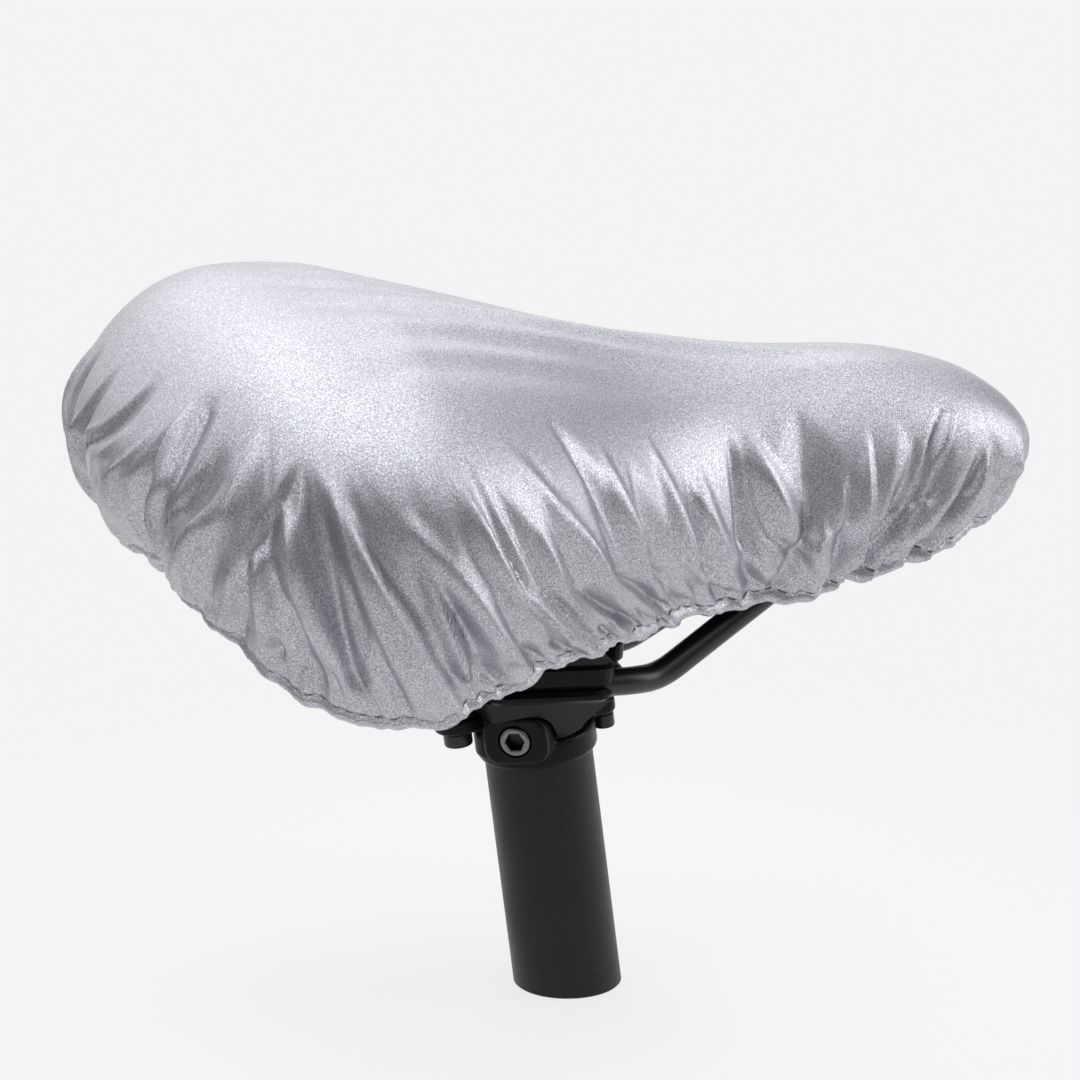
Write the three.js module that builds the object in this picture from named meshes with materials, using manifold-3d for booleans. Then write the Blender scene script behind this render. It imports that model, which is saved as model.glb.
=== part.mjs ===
// A reflective cloth cover with an elastic hem on a bicycle saddle, with the saddle's rails,
// its clamp and a cut-off seat post that stands on the floor.
// Millimetres. +X points to the saddle's nose, +Y to its left and +Z up. The origin is the
// middle of the post's foot, on the floor.
import * as THREE from "three";
import { mergeVertices } from "three/addons/utils/BufferGeometryUtils.js";
import Module from "manifold-3d";

const wasm = await Module();
wasm.setup();

// Gaps, and how far a cutting solid runs past what it cuts
const pieceGap = 0.4;
const cradleGap = 0.8;
const cutReach = 60;

// Cover: outline seen from above
const rearEnd = -125.5;
const noseEnd = 128;
const rearHalfWidth = 94.8;
const noseHalfWidth = 33.5;
const taperStart = -69.5;
const taperEnd = 44.5;
const rearBluntness = 0.59;
const noseBluntness = 0.54;

// Cover: section from the crown over the widest line to the hem
const crownWidthPower = 3.3;
const crownHeightPower = 1.92;
const widestDown = 0.6;
const hemTurn = THREE.MathUtils.degToRad(62);
const clothThickness = 1.2;

// Heights of the crown, the widest line and the hem, and how far the hem is drawn in
const stations = [
  { x: -125, spine: 164.5, edge: 146, hem: 128, tuck: 20 },
  { x: -98, spine: 187, edge: 141, hem: 103.5, tuck: 19 },
  { x: -61, spine: 187.5, edge: 137, hem: 100, tuck: 17 },
  { x: -24, spine: 179.5, edge: 133.5, hem: 106, tuck: 15 },
  { x: 14, spine: 170, edge: 130.5, hem: 102, tuck: 13 },
  { x: 51, spine: 163, edge: 128, hem: 101, tuck: 12 },
  { x: 89, spine: 157, edge: 126, hem: 108, tuck: 10 },
  { x: 128, spine: 142.5, edge: 124, hem: 118, tuck: 8 },
];

// Main folds of the skirt, each from its top to its foot. Turn is in degrees around the
// cover, from the nose over the left side; down runs from the crown's middle, 0, to the
// hem, 1. A negative rise is a trough.
const folds = [
  { turn: 192, down: 0.36, footTurn: 186, footDown: 0.95, width: 5, rise: -4.5 },
  { turn: 182, down: 0.28, footTurn: 182, footDown: 0.6, width: 5, rise: -2.5 },
  { turn: 199, down: 0.26, footTurn: 194, footDown: 0.62, width: 6, rise: -3 },
  { turn: 205, down: 0.37, footTurn: 199, footDown: 0.8, width: 6, rise: 3 },
  { turn: 207, down: 0.5, footTurn: 201, footDown: 0.97, width: 5, rise: -3 },
  { turn: 213, down: 0.5, footTurn: 210, footDown: 0.97, width: 6, rise: -3.5 },
  { turn: 218, down: 0.42, footTurn: 224, footDown: 0.9, width: 7, rise: 3.5 },
  { turn: 220, down: 0.7, footTurn: 218, footDown: 1, width: 4, rise: -2.5 },
  { turn: 221, down: 0.4, footTurn: 237, footDown: 0.9, width: 5, rise: -3.5 },
  { turn: 227, down: 0.5, footTurn: 233, footDown: 1, width: 6, rise: 3 },
  { turn: 234, down: 0.52, footTurn: 244, footDown: 1, width: 5, rise: -3.5 },
  { turn: 241, down: 0.5, footTurn: 249, footDown: 1, width: 5, rise: -3 },
  { turn: 240, down: 0.55, footTurn: 246, footDown: 0.95, width: 5, rise: 2.5 },
  { turn: 248, down: 0.6, footTurn: 254, footDown: 1, width: 4, rise: -2.5 },
  { turn: 254, down: 0.62, footTurn: 264, footDown: 1, width: 5, rise: -2.5 },
  { turn: 258, down: 0.42, footTurn: 270, footDown: 0.75, width: 6, rise: -2.5 },
  { turn: 268, down: 0.5, footTurn: 281, footDown: 0.9, width: 5, rise: -2.5 },
  { turn: 283, down: 0.45, footTurn: 289, footDown: 0.8, width: 4, rise: -2 },
  { turn: 294, down: 0.6, footTurn: 291, footDown: 1, width: 4, rise: 1.5 },
  { turn: 312, down: 0.38, footTurn: 299, footDown: 0.9, width: 4, rise: -2.5 },
  { turn: 320, down: 0.26, footTurn: 303, footDown: 0.85, width: 4, rise: 2 },
  { turn: 326, down: 0.45, footTurn: 309, footDown: 0.9, width: 4, rise: -2.5 },
  { turn: 334, down: 0.5, footTurn: 330, footDown: 0.95, width: 5, rise: -1.5 },
  { turn: 352, down: 0.45, footTurn: 350, footDown: 0.95, width: 5, rise: -1.5 },
  { turn: 14, down: 0.4, footTurn: 22, footDown: 0.9, width: 4, rise: -1.8 },
  { turn: 37, down: 0.35, footTurn: 50, footDown: 0.9, width: 4, rise: -2.5 },
  { turn: 48, down: 0.4, footTurn: 62, footDown: 0.9, width: 4, rise: -2 },
  { turn: 80, down: 0.45, footTurn: 73, footDown: 0.9, width: 5, rise: -2.2 },
  { turn: 93, down: 0.48, footTurn: 82, footDown: 0.9, width: 5, rise: -2.5 },
  { turn: 104, down: 0.45, footTurn: 92, footDown: 0.85, width: 6, rise: -2.5 },
  { turn: 110, down: 0.55, footTurn: 103, footDown: 1, width: 5, rise: -2.5 },
  { turn: 119, down: 0.5, footTurn: 111, footDown: 1, width: 5, rise: -3 },
  { turn: 124, down: 0.5, footTurn: 117, footDown: 1, width: 6, rise: 2.5 },
  { turn: 131, down: 0.45, footTurn: 121, footDown: 1, width: 5, rise: -3.5 },
  { turn: 138, down: 0.48, footTurn: 132, footDown: 0.95, width: 6, rise: 3 },
  { turn: 144, down: 0.42, footTurn: 139, footDown: 0.95, width: 5, rise: -3.5 },
  { turn: 152, down: 0.5, footTurn: 150, footDown: 1, width: 5, rise: -3 },
  { turn: 160, down: 0.36, footTurn: 162, footDown: 0.9, width: 6, rise: 3 },
  { turn: 168, down: 0.32, footTurn: 171, footDown: 0.95, width: 5, rise: -3.5 },
];

// Where a fold starts, is full, fades and ends, as shares of its own length. A fold whose
// foot is lower than runsOut goes on to the hem. Then the limits of all folds together.
const foldSpan = { start: -0.1, full: 0.35, fade: 0.7, end: 1.15, runsOut: 0.92 };
const foldLimits = { deepest: -5.5, highest: 4.5 };

// Soft creases over the crown, as lines seen from above
const creases = [
  { x: -73, y: 6, toX: 11, toY: -2, width: 5, rise: -0.8 },
  { x: -72, y: -38, toX: -4, toY: -22, width: 6, rise: -1 },
  { x: -84, y: -54, toX: 28, toY: -13, width: 6, rise: -1 },
  { x: -60, y: 30, toX: 14, toY: 10, width: 6, rise: -1 },
  { x: -80, y: 50, toX: 6, toY: 24, width: 6, rise: -1 },
];

// Gathers of the hem between its pinched places
const gatherCount = 38;
const gatherReach = 0.8;
const gatherDepth = 1.3;
const gatherMean = 0.35;

// Grid of the cover's sheet
const turnSteps = 116;
const downSteps = 17;

// Saddle under the cover
const saddleInset = 13.2;
const saddleCrownDrop = 5;
const saddleEdgeDrop = 3;
const saddleRim = 7;
const saddleRimTuck = 0.09;
const saddleRimLift = 6;
const saddlePad = 12;
const saddleWall = 0.19;
const saddleTurnSteps = 52;
const saddleRows = 6;
const rearSocket = { x: -88, y: 33.5, length: 15, width: 14, low: 131, high: 168 };
const noseBoss = { x: 89, y: 0, length: 14, width: 24, low: 134.4, high: 146 };

// Steel bracket under the nose that holds the rails' front ends
const noseBracket = { x: 89, length: 15, width: 24, corner: 4, low: 116.5, high: 134 };

// Rails
const railRadius = 3.5;
const grooveGap = 0.5;
const railHalfSpacing = 18;
const railTilt = THREE.MathUtils.degToRad(5);
const railMiddle = { x: -13.5, z: 87 };
const railRoute = [
  { x: -90, y: 33.5, z: 144 },
  { x: -84, y: 32, z: 126 },
  { x: -50, y: railHalfSpacing, z: 90.2 },
  { x: 9, y: railHalfSpacing, z: 85 },
  { x: 19, y: 14, z: 83.8 },
  { x: 75, y: 7.5, z: 116 },
  { x: 92, y: 7.5, z: 127 },
];
const railBendLength = 13;
const railSides = 12;
const railSteps = 44;

// Seat post, leaning towards the rear
const postLean = THREE.MathUtils.degToRad(7.2);
const postRadius = 13.6;
const postTop = 70.8;
const roundSides = 40;
const smallSides = 16;
const boltSides = 28;
const bevelSteps = 1;
const cornerSteps = 3;

// Collar of the post's head
const collarRadius = 15.1;
const collarBottom = 64;
const collarTop = 71;

// Lug with the cross bolt, turned from the right side towards the rear
const lugTurn = THREE.MathUtils.degToRad(35);
const lugHeight = 74;
const lug = { width: 16.4, tall: 12.8, depth: 8, corner: 4, face: 19.2, bevel: 0.9 };
const boltSide = { radius: 3.9, length: 3.8, socketFlat: 4.3, socketDepth: 2.6, proud: 0.3 };

// Ears and upright bolts
const earThickness = 4;
const earRootRise = 2;
const ears = [
  { name: "rear", x: -20.5, radius: 5.6, top: 78.6, rootX: -10.5, headRadius: 3.6, boltTop: 94 },
  { name: "front", x: 18.2, radius: 3.4, top: 73.6, rootX: 11, headRadius: 2.7, boltTop: 90 },
];
const boltUpright = { headHeight: 3.7, shaftRadius: 2.4 };

// Clamp plates, in the rails' own slope
const plate = { length: 36, width: 49, corner: 6, thickness: 3, bevel: 1 };
const partingGap = 0.8;
const topPlateHeight = 6;
const tongue = { length: 50, width: 12, shift: 2.5 };
const cradle = { topWidth: 46, bottomWidth: 27, topLength: 33, bottomLength: 17, depth: 16.6 };

const UP = new THREE.Vector3(0, 0, 1);

// Value of a station column at x, on a smooth curve through the stations
function along(column, x) {
  const last = stations.length - 1;
  const slope = (i) => {
    const a = stations[Math.max(i - 1, 0)];
    const b = stations[Math.min(i + 1, last)];
    const c = stations[i];
    const before = c.x > a.x ? (c[column] - a[column]) / (c.x - a.x) : null;
    const after = b.x > c.x ? (b[column] - c[column]) / (b.x - c.x) : null;
    return before === null ? after : after === null ? before : (before + after) / 2;
  };
  let i = 0;
  while (i < last - 1 && x >= stations[i + 1].x) i += 1;
  const [a, b] = [stations[i], stations[i + 1]];
  const h = b.x - a.x;
  const t = THREE.MathUtils.clamp((x - a.x) / h, 0, 1);
  const blend = t * t * (3 - 2 * t);
  const curl = t * (1 - t);
  return (
    a[column] * (1 - blend) + b[column] * blend +
    h * curl * ((1 - t) * slope(i) - t * slope(i + 1))
  );
}

// Point of the widest line at an angle, and the point of the spine that its section faces
function outline(angle, inset) {
  const [c, s] = [Math.cos(angle), Math.sin(angle)];
  const middle = (rearEnd + noseEnd) / 2;
  const x = middle + ((noseEnd - rearEnd) / 2) * c;
  const taper = THREE.MathUtils.smoothstep(x, taperStart, taperEnd);
  const half = rearHalfWidth + (noseHalfWidth - rearHalfWidth) * taper;
  const blunt = rearBluntness + (noseBluntness - rearBluntness) *
    THREE.MathUtils.smoothstep((c + 1) / 2, 0, 1);
  const y = half * Math.sign(s) * Math.abs(s) ** blunt;
  const spineX = THREE.MathUtils.clamp(
    x, rearEnd + 0.75 * rearHalfWidth, noseEnd - 0.75 * noseHalfWidth);
  const reach = Math.hypot(x - spineX, y);
  const keep = reach > 1e-6 ? 1 - inset / reach : 1;
  return { x: spineX + (x - spineX) * keep, y: y * keep, spineX, reach: reach - inset, at: x };
}

// Smooth surface of the cover, without folds. Above the widest line a section is a quarter
// of a superellipse, and below it an arc of an ellipse that draws in to the hem.
function smoothCover(angle, down) {
  const o = outline(angle, 0);
  const edge = along("edge", o.at);
  if (down < widestDown) {
    const a = (1 - down / widestDown) * (Math.PI / 2);
    const k = Math.max(Math.cos(a), 0) ** (2 / crownWidthPower);
    const rise = Math.sin(a) ** (2 / crownHeightPower);
    const x = o.spineX + (o.x - o.spineX) * k;
    return new THREE.Vector3(x, o.y * k, edge + (along("spine", x) - edge) * rise);
  }
  const b = ((down - widestDown) / (1 - widestDown)) * hemTurn;
  const inward = along("tuck", o.at) * (1 - Math.cos(b)) / (1 - Math.cos(hemTurn));
  const k = 1 - inward / o.reach;
  const drop = (edge - along("hem", o.at)) * Math.sin(b) / Math.sin(hemTurn);
  return new THREE.Vector3(o.spineX + (o.x - o.spineX) * k, o.y * k, edge - drop);
}

// Outward direction of the smooth surface, and its size along one degree of turn
function coverFrame(angle, down) {
  const step = 0.004;
  const d = THREE.MathUtils.clamp(down, 0.03, 1 - step);
  const around = smoothCover(angle + step, d).sub(smoothCover(angle - step, d));
  const downward = smoothCover(angle, d + step).sub(smoothCover(angle, d - step));
  const perDegree = (around.length() / (2 * step)) * (Math.PI / 180);
  const normal = downward.cross(around).normalize();
  const lift = THREE.MathUtils.smoothstep(down, 0, 0.1);
  return { normal: normal.lerp(UP, 1 - lift).normalize(), perDegree };
}

// Height of the skirt's folds at a place on the sheet
function foldRise(turn, down, perDegree) {
  let total = 0;
  for (const f of folds) {
    const s = (down - f.down) / (f.footDown - f.down);
    const fade = THREE.MathUtils.smoothstep(s, foldSpan.fade, foldSpan.end);
    const ends = THREE.MathUtils.smoothstep(s, foldSpan.start, foldSpan.full) *
      (f.footDown > foldSpan.runsOut ? 1 : 1 - fade);
    const centre = f.turn + (f.footTurn - f.turn) * s;
    const away = ((turn - centre + 540) % 360) - 180;
    total += f.rise * ends * Math.exp(-((away * perDegree / f.width) ** 2));
  }
  return THREE.MathUtils.clamp(total, foldLimits.deepest, foldLimits.highest);
}

// Height of the crown's soft creases at a place seen from above
function creaseRise(x, y) {
  let total = 0;
  for (const c of creases) {
    const [dx, dy] = [c.toX - c.x, c.toY - c.y];
    const s = ((x - c.x) * dx + (y - c.y) * dy) / (dx * dx + dy * dy);
    const aside = Math.abs((x - c.x) * dy - (y - c.y) * dx) / Math.hypot(dx, dy);
    const ends = THREE.MathUtils.smoothstep(s, foldSpan.start, foldSpan.full) *
      (1 - THREE.MathUtils.smoothstep(s, foldSpan.fade, foldSpan.end));
    total += c.rise * ends * Math.exp(-((aside / c.width) ** 2));
  }
  return total;
}

// Uneven gathers that grow towards the hem
function gatherRise(angle, down) {
  const grow = THREE.MathUtils.smoothstep(down, gatherReach, 1);
  const phase = gatherCount * angle / 2 + 0.9 * Math.sin(3 * angle + 1) + 0.7 * Math.sin(7 * angle);
  return grow * gatherDepth * (Math.abs(Math.sin(phase)) - gatherMean);
}

// Point of one skin of the cover
function coverPoint(angle, down, depth) {
  const p = smoothCover(angle, down);
  const { normal, perDegree } = coverFrame(angle, down);
  const turn = THREE.MathUtils.radToDeg(angle);
  const rise = foldRise(turn, down, perDegree) + creaseRise(p.x, p.y) + gatherRise(angle, down);
  return p.addScaledVector(normal, rise - depth);
}

// Closed mesh from rows of points that run around; each row has the same number of points.
// The first and the last row close on themselves where their points meet.
function loftGeometry(rows) {
  const around = rows[0].length;
  const corners = [];
  for (let j = 0; j + 1 < rows.length; j += 1) {
    for (let i = 0; i < around; i += 1) {
      const n = (i + 1) % around;
      const [a, b, c, d] = [rows[j][i], rows[j][n], rows[j + 1][n], rows[j + 1][i]];
      corners.push(a, d, c, a, c, b);
    }
  }
  return mergedGeometry(new THREE.BufferGeometry().setFromPoints(corners));
}

// The same triangles with shared corners, without those that have shrunk to a line
function mergedGeometry(source) {
  const bare = source.index ? source.toNonIndexed() : source.clone();
  for (const name of Object.keys(bare.attributes)) {
    if (name !== "position") bare.deleteAttribute(name);
  }
  const merged = mergeVertices(bare, 1e-3);
  const kept = [];
  const index = merged.index.array;
  for (let i = 0; i < index.length; i += 3) {
    const [a, b, c] = [index[i], index[i + 1], index[i + 2]];
    if (a !== b && b !== c && c !== a) kept.push(a, b, c);
  }
  merged.setIndex(kept);
  return merged;
}

// Solid for cutting and joining, with its placement applied
function solidOf(geometry, placement = new THREE.Matrix4()) {
  const placed = geometry.clone().applyMatrix4(placement);
  const merged = mergedGeometry(placed);
  return new wasm.Manifold(new wasm.Mesh({
    numProp: 3,
    vertProperties: Float32Array.from(merged.attributes.position.array),
    triVerts: Uint32Array.from(merged.index.array),
  }));
}

function geometryOf(solid) {
  const mesh = solid.getMesh();
  const geometry = new THREE.BufferGeometry();
  geometry.setAttribute("position", new THREE.BufferAttribute(mesh.vertProperties, 3));
  geometry.setIndex(Array.from(mesh.triVerts));
  return geometry;
}

// Angles whose mirror images are angles too, so that the rows meet on the spine
function turns(steps) {
  return Array.from({ length: steps }, (_, i) => (i / steps) * Math.PI * 2);
}

// Cover: outer skin from crown to hem, then the inner skin back up to the crown
function coverGeometry() {
  const ring = (down, depth) => turns(turnSteps).map((a) => coverPoint(a, down, depth));
  const outer = [];
  const inner = [];
  for (let j = 0; j <= downSteps; j += 1) {
    outer.push(ring(j / downSteps, 0));
    inner.push(ring(j / downSteps, clothThickness));
  }
  return loftGeometry([...outer, ...inner.reverse()]);
}

// Saddle hull: the cover's smooth form drawn in, as a pad with a wall down to its rim
function saddleGeometry() {
  const rows = [];
  const row = (k, height) => rows.push(turns(saddleTurnSteps).map((angle) => {
    const o = outline(angle, saddleInset);
    const x = o.spineX + (o.x - o.spineX) * k;
    return new THREE.Vector3(x, o.y * k, height(o, x));
  }));
  const edge = (o) => along("edge", o.at) - saddleEdgeDrop;
  const crown = (rise) => (o, x) => edge(o) + (along("spine", x) - saddleCrownDrop - edge(o)) * rise;
  const rim = (o) => edge(o) - THREE.MathUtils.clamp(
    edge(o) - along("hem", o.at) - saddleRimLift, 1, saddleRim);
  const bends = Array.from({ length: saddleRows + 1 }, (_, j) => (1 - j / saddleRows) * Math.PI / 2);
  const reach = (a) => Math.max(Math.cos(a), 0) ** (2 / crownWidthPower);
  const rise = (a) => Math.sin(a) ** (2 / crownHeightPower);
  for (const a of bends) row(reach(a), crown(rise(a)));
  row(1 - saddleRimTuck, rim);
  row(1 - saddleWall, rim);
  for (const a of bends.slice(0, -1).reverse()) {
    const under = (o, x) => Math.max(crown(rise(a))(o, x) - saddlePad, rim(o));
    row(reach(a) * (1 - saddleWall), under);
  }
  return loftGeometry(rows);
}

function socketSolid(socket, side) {
  const block = new THREE.BoxGeometry(socket.length, socket.width, socket.high - socket.low);
  block.translate(socket.x, side * socket.y, (socket.high + socket.low) / 2);
  return solidOf(block);
}

// Path of straight runs with rounded bends through the corners of a route
function roundedPath(route, side, stretch) {
  const points = route.map((p) => new THREE.Vector3(p.x, side * p.y, p.z));
  const path = new THREE.CurvePath();
  const last = points.length - 1;
  const push = (from, towards) => from.clone().addScaledVector(
    from.clone().sub(towards).normalize(), stretch);
  let start = push(points[0], points[1]);
  for (let i = 1; i < last; i += 1) {
    const before = points[i].clone().sub(points[i - 1]);
    const after = points[i + 1].clone().sub(points[i]);
    const cut = Math.min(railBendLength, before.length() / 2.1, after.length() / 2.1);
    const enter = points[i].clone().addScaledVector(before.normalize(), -cut);
    const leave = points[i].clone().addScaledVector(after.normalize(), cut);
    path.add(new THREE.LineCurve3(start, enter));
    path.add(new THREE.QuadraticBezierCurve3(enter, points[i], leave));
    start = leave;
  }
  path.add(new THREE.LineCurve3(start, push(points[last], points[last - 1])));
  return path;
}

function circleShape(radius, sides) {
  const points = turns(sides).map((a) => new THREE.Vector2(
    radius * Math.cos(a), radius * Math.sin(a)));
  return new THREE.Shape(points);
}

// Rail, or with a wider radius the socket that holds it
function railGeometry(side, radius, stretch) {
  return new THREE.ExtrudeGeometry(circleShape(radius, railSides), {
    steps: railSteps,
    extrudePath: roundedPath(railRoute, side, stretch),
    bevelEnabled: false,
  });
}

function roundedRectangle(width, tall, corner) {
  const [w, t] = [width / 2, tall / 2];
  const shape = new THREE.Shape();
  shape.moveTo(-w + corner, -t);
  shape.lineTo(w - corner, -t);
  shape.absarc(w - corner, -t + corner, corner, -Math.PI / 2, 0, false);
  shape.lineTo(w, t - corner);
  shape.absarc(w - corner, t - corner, corner, 0, Math.PI / 2, false);
  shape.lineTo(-w + corner, t);
  shape.absarc(-w + corner, t - corner, corner, Math.PI / 2, Math.PI, false);
  shape.lineTo(-w, -t + corner);
  shape.absarc(-w + corner, -t + corner, corner, Math.PI, Math.PI * 1.5, false);
  return shape;
}

// Upright cylinder from one height to another
function uprightCylinder(radius, low, high, sides = smallSides) {
  const g = new THREE.CylinderGeometry(radius, radius, high - low, sides);
  g.rotateX(Math.PI / 2);
  g.translate(0, 0, (low + high) / 2);
  return g;
}

// Placement of what is built along the post's axis
function postFrame() {
  return new THREE.Matrix4().makeRotationY(-postLean);
}

// Placement of the clamp: its x runs down the rails' slope towards the nose
function clampFrame() {
  return new THREE.Matrix4().makeTranslation(railMiddle.x, 0, railMiddle.z)
    .multiply(new THREE.Matrix4().makeRotationY(railTilt));
}

// Placement of the lug and its bolt: +Z points out of the lug's face
function lugFrame() {
  const out = new THREE.Vector3(-Math.sin(lugTurn), -Math.cos(lugTurn), 0);
  const side = new THREE.Vector3().crossVectors(UP, out);
  const turned = new THREE.Matrix4().makeBasis(side, UP, out);
  turned.setPosition(0, 0, lugHeight);
  return postFrame().multiply(turned);
}

function postSolid() {
  const bar = solidOf(uprightCylinder(postRadius, -cutReach / 2, postTop, roundSides), postFrame());
  const under = new THREE.BoxGeometry(2 * cutReach, 2 * cutReach, cutReach);
  under.translate(0, 0, -cutReach / 2);
  return bar.subtract(solidOf(under));
}

function lugSolid() {
  const bevel = lug.bevel;
  const face = roundedRectangle(
    lug.width - 2 * bevel, lug.tall - 2 * bevel, lug.corner - bevel);
  const block = new THREE.ExtrudeGeometry(face, {
    depth: lug.depth - bevel,
    bevelEnabled: true,
    bevelThickness: bevel,
    bevelSize: bevel,
    bevelSegments: bevelSteps,
    curveSegments: cornerSteps,
  });
  block.translate(0, 0, lug.face - lug.depth);
  return solidOf(block, lugFrame());
}

// Free room around the lug and in front of it
function lugRoom() {
  const face = roundedRectangle(
    lug.width + 2 * cradleGap, lug.tall + 2 * cradleGap, lug.corner + cradleGap);
  const block = new THREE.ExtrudeGeometry(face, {
    depth: lug.depth + cradleGap + cutReach,
    bevelEnabled: false,
    curveSegments: cornerSteps,
  });
  block.translate(0, 0, lug.face - lug.depth - cradleGap);
  return solidOf(block, lugFrame());
}

// Block from the post's middle to a round end at x, seen from above, between two heights
function earBlock(x, radius, low, high) {
  const neck = new THREE.BoxGeometry(Math.abs(x), 2 * radius, high - low);
  neck.translate(x / 2, 0, (low + high) / 2);
  const end = uprightCylinder(radius, low, high);
  end.translate(x, 0, 0);
  return solidOf(neck, postFrame()).add(solidOf(end, postFrame()));
}

// Ear: a thin arm for the bolt and a thicker root that joins the ring
function earSolid(ear, grow) {
  const low = ear.top - earThickness;
  const arm = earBlock(ear.x, ear.radius + grow, low - grow, ear.top + grow);
  const root = earBlock(ear.rootX, ear.radius + grow, collarBottom + earRootRise, ear.top + grow);
  return arm.add(root);
}

// Collar: a ring around the post with two ears and the lug
function collarSolid() {
  let body = solidOf(uprightCylinder(collarRadius, collarBottom, collarTop, roundSides), postFrame());
  for (const ear of ears) body = body.add(earSolid(ear, 0));
  body = body.add(lugSolid());
  const bore = uprightCylinder(
    postRadius + pieceGap, collarBottom - cutReach, collarTop + cutReach, roundSides);
  body = body.subtract(solidOf(bore, postFrame()));
  const counterbore = uprightCylinder(
    boltSide.radius + pieceGap, lug.face - boltSide.length - pieceGap, lug.face + cutReach, boltSides);
  body = body.subtract(solidOf(counterbore, lugFrame()));
  for (const ear of ears) {
    const hole = uprightCylinder(
      boltUpright.shaftRadius + pieceGap, ear.top - cutReach, ear.top + cutReach);
    hole.translate(ear.x, 0, 0);
    body = body.subtract(solidOf(hole, postFrame()));
  }
  return body;
}

// Upright bolt with a round head below its ear
function uprightBoltSolid(ear) {
  const under = ear.top - earThickness - pieceGap;
  const head = uprightCylinder(ear.headRadius, under - boltUpright.headHeight, under);
  const shaft = uprightCylinder(
    boltUpright.shaftRadius, under - boltUpright.headHeight / 2, ear.boltTop);
  const place = postFrame().multiply(new THREE.Matrix4().makeTranslation(ear.x, 0, 0));
  return solidOf(head, place).add(solidOf(shaft, place));
}

function sideBoltSolid() {
  const top = lug.face + boltSide.proud;
  const head = uprightCylinder(boltSide.radius, lug.face - boltSide.length, top, boltSides);
  const socketRadius = boltSide.socketFlat / Math.sqrt(3);
  const socket = uprightCylinder(socketRadius, top - boltSide.socketDepth, top + cutReach, 6);
  return solidOf(head, lugFrame()).subtract(solidOf(socket, lugFrame()));
}

// Grooves for the rails and holes for the upright bolts, cut from a clamp plate
function cutForRailsAndBolts(solid) {
  let cut = solid;
  for (const side of [-1, 1]) {
    const groove = new THREE.CylinderGeometry(
      railRadius + grooveGap, railRadius + grooveGap, 2 * cutReach, smallSides);
    groove.rotateZ(Math.PI / 2);
    groove.translate(0, side * railHalfSpacing, 0);
    cut = cut.subtract(solidOf(groove, clampFrame()));
  }
  for (const ear of ears) {
    const hole = uprightCylinder(
      boltUpright.shaftRadius + pieceGap, collarBottom - cutReach, ear.boltTop + pieceGap);
    hole.translate(ear.x, 0, 0);
    cut = cut.subtract(solidOf(hole, postFrame()));
  }
  return cut;
}

function plateSolid(length, width, corner, thickness, low, shift = 0) {
  const b = plate.bevel;
  const g = new THREE.ExtrudeGeometry(
    roundedRectangle(length - 2 * b, width - 2 * b, corner - b), {
      depth: thickness - 2 * b,
      bevelEnabled: true,
      bevelThickness: b,
      bevelSize: b,
      bevelSegments: bevelSteps,
      curveSegments: cornerSteps,
    });
  g.translate(shift, 0, low + b);
  return solidOf(g, clampFrame());
}

// Plate across the rails with a tongue at each end for the upright bolts
function tonguedPlateSolid(thickness, low) {
  return plateSolid(plate.length, plate.width, plate.corner, thickness, low)
    .add(plateSolid(tongue.length, tongue.width, plate.corner - 1, thickness, low, tongue.shift));
}

function clampTopSolid() {
  return cutForRailsAndBolts(tonguedPlateSolid(topPlateHeight, partingGap / 2));
}

// Lower plate with a cradle that narrows down to the collar
function clampBaseSolid() {
  const low = -partingGap / 2 - plate.thickness;
  let body = tonguedPlateSolid(plate.thickness, low);
  const taper = (topLength, bottomLength, across) => {
    const side = new THREE.Shape([
      new THREE.Vector2(-topLength / 2, low + plate.bevel / 2),
      new THREE.Vector2(-bottomLength / 2, -cradle.depth),
      new THREE.Vector2(bottomLength / 2, -cradle.depth),
      new THREE.Vector2(topLength / 2, low + plate.bevel / 2),
    ]);
    const wedge = new THREE.ExtrudeGeometry(side, { depth: across, bevelEnabled: false });
    wedge.rotateX(Math.PI / 2);
    wedge.translate(0, across / 2, 0);
    return wedge;
  };
  const lengthwise = taper(cradle.topLength, cradle.bottomLength, cradle.topWidth);
  const sideways = taper(cradle.topWidth, cradle.bottomWidth, cradle.topLength);
  sideways.rotateZ(Math.PI / 2);
  const block = solidOf(lengthwise, clampFrame()).intersect(solidOf(sideways, clampFrame()));
  body = body.add(block);
  const head = new THREE.BoxGeometry(2 * cutReach, 2 * cutReach, cutReach);
  head.translate(0, 0, collarTop + cradleGap - cutReach / 2);
  body = body.subtract(solidOf(head, postFrame()));
  body = body.subtract(lugRoom());
  for (const ear of ears) body = body.subtract(earSolid(ear, cradleGap));
  return cutForRailsAndBolts(body);
}

function saddleSolid() {
  let body = solidOf(saddleGeometry()).add(socketSolid(noseBoss, 0));
  for (const side of [-1, 1]) body = body.add(socketSolid(rearSocket, side));
  return cutForRailEnds(body.subtract(noseBracketSolid(pieceGap)));
}

function noseBracketSolid(grow) {
  const b = noseBracket;
  const outlineShape = roundedRectangle(b.length + 2 * grow, b.width + 2 * grow, b.corner + grow);
  const block = new THREE.ExtrudeGeometry(outlineShape, {
    depth: b.high - b.low + 2 * grow,
    bevelEnabled: false,
    curveSegments: cornerSteps,
  });
  block.translate(b.x, 0, b.low - grow);
  return solidOf(block);
}

function cutForRailEnds(solid) {
  let cut = solid;
  for (const side of [-1, 1]) {
    cut = cut.subtract(solidOf(railGeometry(side, railRadius + pieceGap, pieceGap)));
  }
  return cut;
}

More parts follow.
